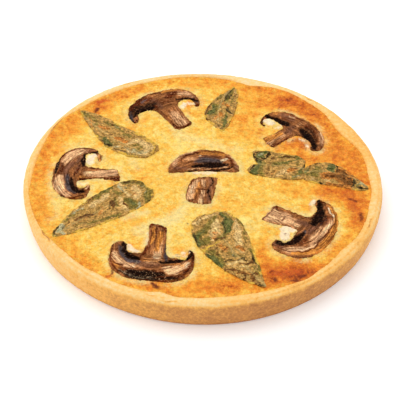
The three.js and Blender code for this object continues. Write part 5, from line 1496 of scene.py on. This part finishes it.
def disc(rings):
    """Share of the radius, azimuth and triangles of a disc whose ring k has 6k points."""
    share = [0.0]
    azimuth = [0.0]
    faces = []
    for ring in range(1, rings + 1):
        share += [ring / rings] * (6 * ring)
        azimuth += [60 * i / ring for i in range(6 * ring)]
        outer_first = 1 + 3 * ring * (ring - 1)
        inner_first = 1 + 3 * (ring - 1) * (ring - 2) if ring > 1 else 0
        inner_count = max(1, 6 * (ring - 1))
        for sector in range(6):
            for i in range(ring):
                outer = outer_first + sector * ring + i
                outer_next = outer_first + (sector * ring + i + 1) % (6 * ring)
                inner = inner_first + (sector * (ring - 1) + i) % inner_count
                faces.append([outer, outer_next, inner])
                if i + 1 < ring:
                    inner_next = inner_first + (sector * (ring - 1) + i + 1) % inner_count
                    faces.append([outer_next, inner_next, inner])
    return np.array(share), np.array(azimuth), faces


def custard_relief(plan, settings):
    """Bumps, grain and burst bubbles of the baked surface, in mm."""
    relief = settings.bumps * noise(plan, 11.0, 61, octaves=2)
    relief += 0.5 * settings.bumps * noise(plan, 4.2, 67)
    relief += settings.grain * noise(plan, 1.9, 71, octaves=2)
    relief -= settings.bubbles * smoothstep(0.42, 0.85, noise(plan, 2.4, 73))
    relief -= 0.8 * settings.bubbles * smoothstep(0.5, 0.9, noise(plan, 4.6, 79))
    return relief


def custard_browning_and_highlights(plan):
    """How far the custard is browned at each place, from 0 to 1, and less where painted highlight lies."""
    browning = 0.18 + 0.2 * smoothstep(88, 108, np.hypot(plan[:, 0], plan[:, 1]))
    drawn = warped(warped(plan, 3.0, 12.0, 81), 1.2, 3.5, 83)
    for softness, strength, *path in CUSTARD_BROWNING_AND_HIGHLIGHTS:
        browning = browning + strength * stroke(drawn, path, softness)
    browning += 0.06 * noise(plan, 8.0, 87, octaves=2)
    browning += 0.06 * noise(plan, 3.4, 89, octaves=2)
    return np.clip(browning, 0, 1.1)


def beside_slices(plan, strokes_by_slice, amount, size, seed):
    """Mask of the strokes that are given in the slices' own frames."""
    mask = np.zeros(len(plan))
    for name, strokes in strokes_by_slice.items():
        local = warped(to_local(name, plan), amount, size, seed)
        near = (np.abs(local) < SLICE_REACH).all(axis=1)
        for softness, strength, *path in strokes:
            mask[near] = np.maximum(mask[near], strength * stroke(local[near], path, softness))
    return mask


def custard_material(settings):
    """Set egg custard, satin, browned from pale yellow to orange and brown."""
    material, tree, shader, place = new_material("Baked custard")
    patches = noise_texture(tree, place, 210.0, 3.0)
    specks = noise_texture(tree, place, 640.0, 2.0, 0.6)
    speckled = noise_texture(tree, place, 55.0)
    browning = attribute(tree, "browning") + (patches - 0.5) * 0.72 + (specks - 0.5) * speckled * 1.35
    shade = ramp(tree, browning, [(0.0, settings.pale), (0.2, settings.yellow), (0.4, settings.golden),
                                  (0.62, settings.orange), (0.85, settings.brown), (1.0, settings.scorched)])
    grain = noise_texture(tree, place, 700.0, 3.0, 0.6)
    shade = layered(tree, shade, settings, CUSTARD_CHANNELS, grain, 0.9, 0.45)[0]
    height = use_group(tree, "Pores", Place=place, Scale=560.0, Pits=0.3)
    connect(tree, shader, {
        "Base Color": use_group(tree, "Mottle", Color=shade, Place=place, Scale=290.0, Amount=0.78),
        "Normal": bump(tree, height, 0.0009),
        "Roughness": patches * 0.3 + 0.36,
        "Specular IOR Level": 0.1,
        "Subsurface Weight": 0.12,
        "Subsurface Radius": (1.0, 0.6, 0.2),
        "Subsurface Scale": 0.0025,
    })
    return material


def custard_surface(plan, share, edge, settings):
    """Height of the baked surface at each place, and its masks."""
    height = custard_height(plan) + custard_relief(plan, settings) * smoothstep(1.0, 0.985, share)
    height += EDGE_RISE * smoothstep(edge - 4.5, edge - 0.2, share * edge)
    masks = painted(warped(plan, 0.8, 2.5, 91), CUSTARD_SPOTS_AND_HIGHLIGHTS, ("pale", "rust", "scorch"))
    masks["cream"] = beside_slices(plan, CREAM, 0.7, 2.2, 93)
    bits = beside_slices(plan, BITS, 0.4, 1.5, 95)
    masks["scorch"] = np.maximum(masks["scorch"], bits)
    masks["browning"] = custard_browning_and_highlights(plan)
    height += 0.5 * masks["cream"] * (1 + 0.6 * noise(plan, 2.2, 97)) + 0.5 * bits
    for name, outline in OUTLINES.items():
        depth = near_outline(plan, outline, HALO_REACH)
        if name in LEAF_PAINT:
            height -= LEAF_SEAT * smoothstep(0.6, 1.8, depth)
            height += 0.3 * settings.collar * hill(depth, 1.4) * (depth < 0)
            continue
        height += settings.collar * hill(depth, 2.2) * (depth < 0)
        height += (LEVEL - SLICE_SUNK - GAP - height) * smoothstep(0.9, 2.0, depth)
        halo = 0.5 * smoothstep(-7.0, -1.0, depth) * (depth < 0.5)
        masks["pale"] = np.maximum(masks["pale"], halo * (0.75 + 0.5 * noise(plan, 5.0, 99)))
    return height, masks


def custard_mesh(settings):
    """Closed mesh of the filling: points, faces and masks."""
    share, azimuth, faces = disc(settings.rings)
    edge = filling_radius(azimuth) + EDGE_UNDER_LIP
    plan = at_radius(share * edge, azimuth)
    height, masks = custard_surface(plan, share, edge, settings)
    # The side and the flat underside, which rests on the pastry.
    count = 6 * settings.rings
    side = plan[-count:] * ((filling_radius(azimuth[-count:]) - GAP) / edge[-count:])[:, None]
    plan = np.vstack([plan, side, [[0, 0]]])
    points = np.column_stack([plan, np.append(height, np.full(count + 1, FLOOR + GAP))])
    lower = len(height)
    faces += band(lower - count, lower, count) + fan(lower + count, lower, count)
    masks = {mask: np.append(values, np.zeros(count + 1)) for mask, values in masks.items()}
    return points, faces, masks


class QUICHE_OT_custard(bpy.types.Operator):
    """Make the custard filling with its browning, bubbles and a seat for each topping"""

    bl_idname = "quiche.custard"
    bl_label = "Custard"

    def execute(self, context):
        settings = context.scene.quiche_custard
        piece = build_mesh("Custard", *custard_mesh(settings))
        dress(piece, custard_material(settings), "custard")
        return {"FINISHED"}


# ---- Mushroom slices ----

class MushroomSettings(bpy.types.PropertyGroup):
    flesh: colour("Flesh", "Roasted flesh between the painted parts", 188, 120, 70)
    tan: colour("Tan flesh", "Pale roasted flesh and stems", 268, 206, 150)
    amber: colour("Amber", "Skin that light comes through", 244, 158, 72)
    purple: colour("Purple flesh", "Flesh near the gills", 148, 97, 70)
    skin: colour("Skin", "Dark red-brown skin and dried edges", 112, 46, 13)
    # Painted sheen: the grey shine of wet gills is painted into the colour.
    slate: colour("Slate", "Grey shine on wet gills", 104, 90, 90)
    black: colour("Gills", "Black gills", 34, 11, 2)
    # Cream on a slice is partly custard and partly painted highlight.
    cream: colour("Cream", "Custard and highlights on the slice", 262, 230, 184)
    spacing: length("Spacing", "Distance between points of the surface", 0.55)
    edge: length("Edge", "Rounding of the cut edges", 0.8)
    gills: length("Gills' depth", "How far the gills lie below the cut face", 0.7)
    wrinkles: length("Wrinkles", "Height of wrinkles on the cut face", 0.4)


SLICE_CHANNELS = {name: name for name in ("tan", "amber", "purple", "skin", "slate", "black", "cream")}
SLICE_SEED = 100  # first of the slices' random seeds
DOME_CENTRE = -14  # v of the middle of the cap's arcs
DOME_RADIUS = 16
GILLS_BELOW = 9  # v below which black paint is gills


def slice_grain(local):
    """Coordinates in mm across and along the fibres, which follow the dome's arc in the cap and
    run lengthwise in the stem, and those across and along the gills."""
    in_cap = smoothstep(-3.5, 1.5, local[:, 1])
    below = local[:, 1] - DOME_CENTRE
    arc = DOME_RADIUS * np.arctan2(local[:, 0], below)
    across = np.hypot(local[:, 0], below)
    along = arc * in_cap + local[:, 1] * (1 - in_cap)
    side = across * in_cap + local[:, 0] * (1 - in_cap)
    level = np.zeros(len(local))
    return np.column_stack([side, 0.11 * along, level]), np.column_stack([arc, 0.12 * across, level])


def gill_zone(name, local):
    """Mask of the gills and of the flesh close to them."""
    zone = np.zeros(len(local))
    for channel, softness, strength, *path in SLICE_PAINT[name]:
        if channel == "black" and path[0][1] < GILLS_BELOW:
            zone = np.maximum(zone, strength * stroke(local, path, 5.0))
    return zone * smoothstep(-9, -3, local[:, 1])


def mushroom_material(settings):
    """Roasted mushroom: tan and brown streaked flesh, dark skin, black gills, satin."""
    material, tree, shader, place = new_material("Roasted mushroom")
    streaked = attribute(tree, "grain", "Vector")
    fibres = noise_texture(tree, streaked, 0.75, 4.0, 0.68)
    spots = noise_texture(tree, place, 900.0, 3.0, 0.65)
    grain = fibres * 0.68 + spots * 0.32
    shade, masks = layered(tree, settings.flesh, settings, SLICE_CHANNELS, grain, 1.5, 0.38)
    shade = tinted(tree, shade, grain, [
        (0.36, (0.2, 0.14, 0.1)), (0.44, (0.66, 0.6, 0.56)), (0.5, WHITE), (0.56, (1.3, 1.3, 1.28)),
        (0.64, (1.7, 1.65, 1.6))])
    # Thin dark wrinkles that follow the fibres: painted shade in the creases.
    wrinkles = compute(tree, "ABSOLUTE", noise_texture(tree, streaked, 0.42, 3.0, 0.6) - 0.5)
    wrinkles = smooth_range(tree, wrinkles, 0.0, 0.03)
    shade = tinted(tree, shade, wrinkles, [(0.0, (0.5, 0.43, 0.38)), (1.0, WHITE)])
    # Paler specks in the dark skin.
    in_gills = attribute(tree, "gills")
    specks = smooth_range(tree, spots, 0.56, 0.66, 0.0, 0.7)
    specks = specks * compute(tree, "MAXIMUM", masks["skin"], masks["black"]) * (1.0 - in_gills)
    shade = mixed(tree, specks * 0.6, shade, settings.tan)
    gills = noise_texture(tree, attribute(tree, "rays", "Vector"), 1.1, 2.0, 0.6)
    shade = tinted(tree, shade, gills, [
        (0.38, (0.34, 0.3, 0.28)), (0.5, (0.95, 0.93, 0.9)), (0.62, (2.2, 2.0, 1.8))], in_gills)
    wet = compute(tree, "MAXIMUM", masks["black"], masks["slate"])
    connect(tree, shader, {
        "Base Color": use_group(tree, "Mottle", Color=shade, Place=place, Scale=430.0, Amount=1.6),
        "Normal": bump(tree, fibres + spots * 0.7 + wrinkles * 0.3, 0.001),
        "Roughness": spots * 0.2 + 0.5 - wet * 0.2,
        "Specular IOR Level": 0.02,
    })
    return material


def slice_mesh(name, number, settings):
    """Closed mesh of one slice: points, faces and masks."""
    seed = SLICE_SEED + number
    outline = ragged_outline(OUTLINES[name], 0.55, 2.0, seed)
    plan, faces = filled(outline, settings.spacing, seed + 20)
    local = to_local(name, plan)
    drawn = warped(local, 0.55, 2.2, seed + 40)
    masks = painted(drawn, SLICE_PAINT[name], SLICE_CHANNELS)
    masks["gills"] = gill_zone(name, drawn)
    masks["grain"], masks["rays"] = slice_grain(local)
    count = len(outline)
    depth = np.maximum(0, signed_distance(plan, outline))
    depth[:count] = 0
    inset = np.clip(1 - depth / settings.edge, 0, 1)
    height = np.full(len(plan), LEVEL + SLICE_PROUD)
    height += settings.wrinkles * noise(masks["grain"] * (1, 2.0, 1), 1.6, seed + 60, octaves=2)
    height += 0.8 * settings.wrinkles * noise(plan, 5.0, seed + 80)
    height += 0.5 * settings.wrinkles * noise(plan, 1.4, seed + 100)
    height -= settings.gills * masks["black"] * smoothstep(14, GILLS_BELOW, local[:, 1])
    height -= 0.35 * settings.gills * masks["slate"]
    height += 0.3 * settings.gills * masks["gills"] * noise(masks["rays"], 1.0, seed + 140)
    height += 0.35 * masks["skin"] * (0.5 + noise(plan, 1.5, seed + 120))
    height += 0.2 * masks["cream"]
    height -= settings.edge * (1 - np.sqrt(1 - inset ** 2))
    points = np.column_stack([plan, height])
    rim = points[:count]
    foot = np.column_stack([OUTLINES[name], np.full(count, LEVEL - SLICE_SUNK)])
    rings = [rim + (foot - rim) * share for share in (0.35, 0.7, 1.0)]
    starts = [0, *(len(points) + count * ring for ring in range(len(rings)))]
    for upper, lower in zip(starts, starts[1:]):
        faces += band(upper, lower, count)
    faces += turned_over(cover(foot[:, :2])[1], starts[-1])
    masks = {
        mask: np.concatenate([values] + [values[:count]] * len(rings)) for mask, values in masks.items()}
    return np.vstack([points, *rings]), faces, masks


class QUICHE_OT_mushrooms(bpy.types.Operator):
    """Make the roasted mushroom slices with their skin, flesh and gills"""

    bl_idname = "quiche.mushrooms"
    bl_label = "Mushrooms"

    def execute(self, context):
        settings = context.scene.quiche_mushroom
        material = mushroom_material(settings)
        for number, name in enumerate(SLICE_PAINT):
            piece = build_mesh(name.capitalize(), *slice_mesh(name, number, settings))
            dress(piece, material, name)
        return {"FINISHED"}


# ---- Leaves ----

class LeafSettings(bpy.types.PropertyGroup):
    base: colour("Leaf", "Leaf that has dried under a film of custard", 210, 160, 88)
    olive: colour("Olive", "Olive parts", 145, 124, 54)
    green: colour("Green", "Parts that stay dark green", 104, 109, 56)
    film: colour("Film", "Custard baked on the leaf", 258, 213, 146)
    rust: colour("Rust", "Orange-brown patches", 222, 136, 56)
    brown: colour("Brown", "Crisp brown parts", 112, 60, 18)
    # Grey is partly dried, greyish leaf and partly painted highlight.
    grey: colour("Grey", "Greyish, dried parts", 208, 200, 160)
    # Dark lines are partly dried lines and partly painted shade, in creases and along margins that sit in
    # the custard.
    dark: colour("Dark lines", "Creases and dried margins", 56, 38, 8)
    vein: colour("Veins", "Midrib and side veins", 240, 206, 132)
    custard: colour("Custard", "Custard over the margins", 260, 208, 84)
    thickness: length("Thickness", "Thickness of a leaf", 0.55)
    curl: length("Curl", "Rise of the margins", 0.45)
    puckers: length("Puckers", "Height of the bulges between veins", 0.45)
    veins: length("Veins' height", "Height of the veins", 0.25)
    spacing: length("Spacing", "Distance between points of the surface", 0.6)
    vein_spacing: length("Vein spacing", "Distance between side veins along the midrib", 6.5)


LEAF_CHANNELS = {name: name for name in ("film", "olive", "rust", "green", "grey", "brown", "dark")}
LEAF_SEED = 300  # first of the leaves' random seeds
MEAN_LIFT = 0.15  # of a leaf's relief above its solid
CREEP_DEPTH = 0.45  # how much lower a leaf lies where custard covers it
MEETING = {"leaf_right_inner": -0.9, "leaf_right_outer": 0.9}  # how far a leaf is drawn out
MEETING_V = 2  # where, in the frame that the two share

# Places on the margins, with a radius, over which no custard creeps.
BARE_MARGINS = {
    "leaf_right_inner": [(2, 2, 11), (13, 32, 9), (-4, 37, 7)],
    "leaf_right_outer": [(2, 2, 11), (-10, -39, 6), (-2, -22, 16)],
    "leaf_front": [(-16, 12, 8), (-12, -8, 8)],
    "leaf_left": [(-15, 13, 10), (2, -34, 6)],
    "leaf_back": [(-5, 11, 6), (-8, -6, 7)],
}


def leaf_lines(name, local):
    """Distance along and across the bowed midrib, in mm, and the midrib's length."""
    stalk, tip, bow = MIDRIBS[name]
    run = np.array(tip, float) - stalk
    reach = float(np.linalg.norm(run))
    along_axis = run / reach
    side_axis = np.array([-along_axis[1], along_axis[0]])
    along = (local - stalk) @ along_axis
    share = np.clip(along / reach, 0, 1)
    across = (local - stalk) @ side_axis - bow * 4 * share * (1 - share)
    return along, across, reach


def meeting(name, outline):
    """Outline of a leaf; those of the right leaf's halves are drawn out until they meet."""
    local = to_local(name, outline)
    near = smoothstep(12, 6, np.linalg.norm(local - (0, MEETING_V), axis=1))
    near *= smoothstep(4.5, 2.5, np.abs(local[:, 1] - MEETING_V))
    return to_plan(name, local + np.column_stack([np.zeros(len(local)), MEETING.get(name, 0) * near]))


def leaf_material(settings):
    """Baked leaf: olive and dark green in a paler net of veins, partly under a tan film."""
    material, tree, shader, place = new_material("Baked leaf")
    patches = noise_texture(tree, place, 330.0, 3.0, 0.6)
    fine = noise_texture(tree, place, 1100.0, 2.0, 0.6)
    shade = layered(tree, settings.base, settings, LEAF_CHANNELS, patches, 0.9, 0.22)[0]
    streaks = noise_texture(tree, attribute(tree, "grain", "Vector"), 0.8, 3.0, 0.62)
    shade = tinted(tree, shade, streaks, [
        (0.34, (0.58, 0.56, 0.46)), (0.46, (0.9, 0.89, 0.85)), (0.54, (1.08, 1.07, 1.05)),
        (0.66, (1.35, 1.33, 1.28))])
    shade = tinted(tree, shade, noise_texture(tree, place, 800.0, 2.0, 0.6), [
        (0.36, (0.62, 0.6, 0.52)), (0.46, (0.93, 0.93, 0.9)), (0.54, (1.06, 1.05, 1.04)),
        (0.66, (1.36, 1.32, 1.26))])
    # A net of small veins, bent out of straight lines by noise.
    bend = noise_texture(tree, place, 300.0, output="Color")
    bent = add(tree, "ShaderNodeVectorMath", {0: bend, 1: (0.004, 0.004, 0.004), 2: place},
               operation="MULTIPLY_ADD")
    cells = add(tree, "ShaderNodeTexVoronoi", {"Vector": bent, "Scale": 380.0}, "Distance",
                feature="DISTANCE_TO_EDGE")
    net = smooth_range(tree, cells, 0.02, 0.26, 1.0, 0.0)
    shade = tinted(tree, shade, net, [(0.0, (0.84, 0.88, 0.8)), (0.6, WHITE), (1.0, (1.16, 1.14, 1.1))])
    veins = compute(tree, "MAXIMUM", attribute(tree, "vein") * 0.55, net * 0.1)
    shade = mixed(tree, veins, shade, settings.vein)
    spread = use_group(tree, "Ragged mask", Mask=attribute(tree, "custard"), Noise=patches, Raggedness=1.6,
                       Softness=0.3)
    shade = mixed(tree, spread, shade, settings.custard)
    connect(tree, shader, {
        "Base Color": use_group(tree, "Mottle", Color=shade, Place=place, Scale=430.0, Amount=1.5),
        "Normal": bump(tree, (patches + fine) * 0.5 + net * 0.4 + streaks, 0.0011),
        "Roughness": patches * 0.25 + 0.45,
        "Specular IOR Level": 0.04,
    })
    return material


def leaf_lift(plan, veins, depth, masks, seed, settings):
    """Height of the puckers, veins and curled margins, and the mask of the veins."""
    along, across, reach = veins
    rise = along - 0.75 * np.abs(across) - 0.012 * across ** 2
    side_shift = np.where(across > 0, 0.0, 0.45)  # the side veins of the two halves alternate
    wave = np.abs((rise / settings.vein_spacing + side_shift) % 1 - 0.5) * settings.vein_spacing
    fade = smoothstep(0, 6, along) * smoothstep(reach, reach - 5, along)
    side = hill(wave, 0.55) * smoothstep(16, 5, np.abs(across)) * fade
    midrib = hill(across, 0.9 - 0.5 * np.clip(along / reach, 0, 1))
    # Where a leaf has browned, its veins hardly show.
    vein = np.maximum(midrib, 0.6 * side) * (1 - 0.9 * masks["brown"])
    pucker = np.sin(np.pi * np.clip(wave / (0.5 * settings.vein_spacing), 0, 1))
    pucker = pucker * smoothstep(0.5, 4.0, np.abs(across))
    lift = settings.curl * smoothstep(4.0, 0.0, depth) * (0.5 + 0.9 * noise(plan, 9.0, seed + 80))
    lift += settings.puckers * (0.5 * pucker + 0.6 * noise(plan, 3.4, seed + 100, octaves=2))
    lift += settings.veins * vein
    lift += 0.3 * masks["brown"] * (0.6 + noise(plan, 1.8, seed + 120))
    lift += 0.25 * masks["film"] - 0.3 * masks["dark"]
    return lift, vein


def leaf_mesh(name, number, settings):
    """Closed thin mesh of one leaf: points, faces and masks."""
    seed = LEAF_SEED + number
    outline = ragged_outline(meeting(name, OUTLINES[name]), 0.45, 3.0, seed)
    plan, top_faces = filled(outline, settings.spacing, seed + 20)
    local = to_local(name, plan)
    drawn = warped(warped(local, 1.1, 3.6, seed + 40), 0.5, 1.4, seed + 50)
    masks = painted(drawn, LEAF_PAINT[name], (*LEAF_CHANNELS, "custard"))
    along, across, reach = leaf_lines(name, warped(local, 0.5, 6.0, seed + 60))
    count = len(outline)
    depth = np.maximum(0, signed_distance(plan, outline))
    depth[:count] = 0
    lift, masks["vein"] = leaf_lift(plan, (along, across, reach), depth, masks, seed, settings)
    masks["grain"] = np.column_stack([across, 0.3 * along, np.zeros(len(plan))])
    # Custard creeps over parts of the margins, and those parts lie lower.
    creep = smoothstep(2.4, 0.2, depth) * smoothstep(-0.35, 0.45, noise(plan, 5.0, seed + 140))
    for u, v, radius in BARE_MARGINS.get(name, ()):
        creep *= smoothstep(0.6, 1.2, np.linalg.norm(local - (u, v), axis=1) / radius)
    masks["custard"] = np.maximum(masks["custard"], 0.8 * creep)
    height = custard_height(plan) + LEAF_LIFT + lift - MEAN_LIFT - CREEP_DEPTH * masks["custard"]
    top = np.column_stack([plan, height])
    # The margin reaches down into the custard, so that no gap shows under it.
    below = top.copy()
    below[:, 2] -= settings.thickness + 0.8 * smoothstep(0.8, 0.0, depth)
    faces = top_faces + turned_over(top_faces, len(top)) + band(0, len(top), count)
    masks = {mask: np.concatenate([values, values]) for mask, values in masks.items()}
    return np.vstack([top, below]), faces, masks


class QUICHE_OT_leaves(bpy.types.Operator):
    """Make the baked leaves with their veins, puckers and curled margins"""

    bl_idname = "quiche.leaves"
    bl_label = "Leaves"

    def execute(self, context):
        settings = context.scene.quiche_leaf
        material = leaf_material(settings)
        for number, name in enumerate(LEAF_PAINT):
            piece = build_mesh(name.capitalize(), *leaf_mesh(name, number, settings))
            dress(piece, material, name)
        return {"FINISHED"}


# ---- Stage ----

class StageSettings(bpy.types.PropertyGroup):
    world: bpy.props.FloatProperty(
        name="Surroundings", description="Brightness of the white surroundings", default=0.95, min=0)
    key: bpy.props.FloatProperty(
        name="Key light", description="Power of the soft light from the back left", default=13.0, min=0,
        unit="POWER")
    key_azimuth: angle("Key direction", "Direction that the key light comes from", 125)
    key_height: angle("Key elevation", "Height of the key light above the table", 56)
    distance: bpy.props.FloatProperty(
        name="Camera distance", description="From the camera to the point that it looks at", default=0.8068,
        unit="LENGTH")
    elevation: angle("Camera elevation", "Angle that the camera looks down", 41.53)
    roll: angle("Camera roll", "Turn of the picture", 1.117)
    lens: bpy.props.FloatProperty(name="Lens", description="Focal length in mm", default=108.0, min=1)


AIM = (-1.52, -3.13, 0)  # what the camera looks at, in mm
SENSOR = 36.0  # width of the camera's sensor, in mm
FLOOR_REACH = 4000  # half the side of the floor, in mm
FLOOR_GREYS = (0.93, 0.95)
KEY_DISTANCE = 1.6  # from the quiche to the key light, in metres
KEY_SIZE = 2.0  # side of the key light, in metres
KEY_COLOUR = (1.0, 0.985, 0.96)


class QUICHE_OT_stage(bpy.types.Operator):
    """Make the pale floor, the soft light and the camera"""

    bl_idname = "quiche.stage"
    bl_label = "Stage"

    def execute(self, context):
        scene = context.scene
        settings = scene.quiche_stage
        self.make_floor()
        self.make_light(scene, settings)
        self.make_camera(scene, settings)
        scene.view_settings.view_transform = "Standard"
        return {"FINISHED"}

    def make_floor(self):
        """A plain, nearly white floor."""
        corners = FLOOR_REACH * np.array([[-1, -1, 0], [1, -1, 0], [1, 1, 0], [-1, 1, 0]])
        floor = build_mesh("Floor", corners, [[0, 1, 2, 3]], {})
        material, tree, shader, place = new_material("Floor paint")
        stops = [(at, (grey, grey, grey)) for at, grey in enumerate(FLOOR_GREYS)]
        connect(tree, shader, {
            "Base Color": ramp(tree, noise_texture(tree, place, 3.0), stops),
            "Roughness": 0.7,
            "Specular IOR Level": 0.2,
            "Emission Color": WHITE,
            "Emission Strength": 0.12,
        })
        floor.data.materials.append(material)

    def make_light(self, scene, settings):
        """White surroundings and one large soft light."""
        world = bpy.data.worlds.new("Soft white")
        world.use_nodes = True
        background = world.node_tree.nodes["Background"]
        connect(world.node_tree, background, {"Color": WHITE, "Strength": settings.world})
        scene.world = world
        light = bpy.data.lights.new("Key", "AREA")
        light.shape = "SQUARE"
        light.size = KEY_SIZE
        light.energy = settings.key
        light.color = KEY_COLOUR
        key = bpy.data.objects.new("Key", light)
        flat = math.cos(settings.key_height)
        direction = Vector((flat * math.cos(settings.key_azimuth), flat * math.sin(settings.key_azimuth),
                            math.sin(settings.key_height)))
        key.location = direction * KEY_DISTANCE
        key.rotation_euler = direction.to_track_quat("Z", "Y").to_euler()
        scene.collection.objects.link(key)

    def make_camera(self, scene, settings):
        """The camera in front of the quiche, looking down at it."""
        data = bpy.data.cameras.new("Camera")
        data.lens = settings.lens
        data.sensor_width = SENSOR
        camera = bpy.data.objects.new("Camera", data)
        back = Vector((0, -math.cos(settings.elevation), math.sin(settings.elevation)))
        tilt = Matrix.Rotation(math.pi / 2 - settings.elevation, 4, "X")
        spin = Matrix.Rotation(settings.roll, 4, "Z")
        place = Matrix.Translation(Vector(AIM) * MM + back * settings.distance)
        camera.matrix_world = place @ tilt @ spin
        scene.collection.objects.link(camera)
        scene.camera = camera


# ---- Panel and registration ----

# Each group of settings, and the operator that uses it.
SECTIONS = {
    "quiche_pastry": (PastrySettings, QUICHE_OT_crust),
    "quiche_custard": (CustardSettings, QUICHE_OT_custard),
    "quiche_mushroom": (MushroomSettings, QUICHE_OT_mushrooms),
    "quiche_leaf": (LeafSettings, QUICHE_OT_leaves),
    "quiche_stage": (StageSettings, QUICHE_OT_stage),
}


class QUICHE_PT_panel(bpy.types.Panel):
    """Sizes and colours of the quiche, and the operators that make its pieces"""

    bl_label = "Quiche"
    bl_idname = "QUICHE_PT_panel"
    bl_space_type = "VIEW_3D"
    bl_region_type = "UI"
    bl_category = "Quiche"

    def draw(self, context):
        for name, (settings, operator) in SECTIONS.items():
            box = self.layout.box()
            box.operator(operator.bl_idname)
            for setting in settings.__annotations__:
                box.prop(getattr(context.scene, name), setting)


CLASSES = (*itertools.chain(*SECTIONS.values()), QUICHE_PT_panel)


def register():
    for kind in CLASSES:
        bpy.utils.register_class(kind)
    for name, (settings, operator) in SECTIONS.items():
        setattr(bpy.types.Scene, name, bpy.props.PointerProperty(type=settings))


def unregister():
    for name in SECTIONS:
        delattr(bpy.types.Scene, name)
    for kind in reversed(CLASSES):
        bpy.utils.unregister_class(kind)


def main():
    register()
    bpy.ops.quiche.crust()
    bpy.ops.quiche.custard()
    bpy.ops.quiche.mushrooms()
    bpy.ops.quiche.leaves()
    bpy.ops.quiche.stage()


if __name__ == "__main__":
    main()
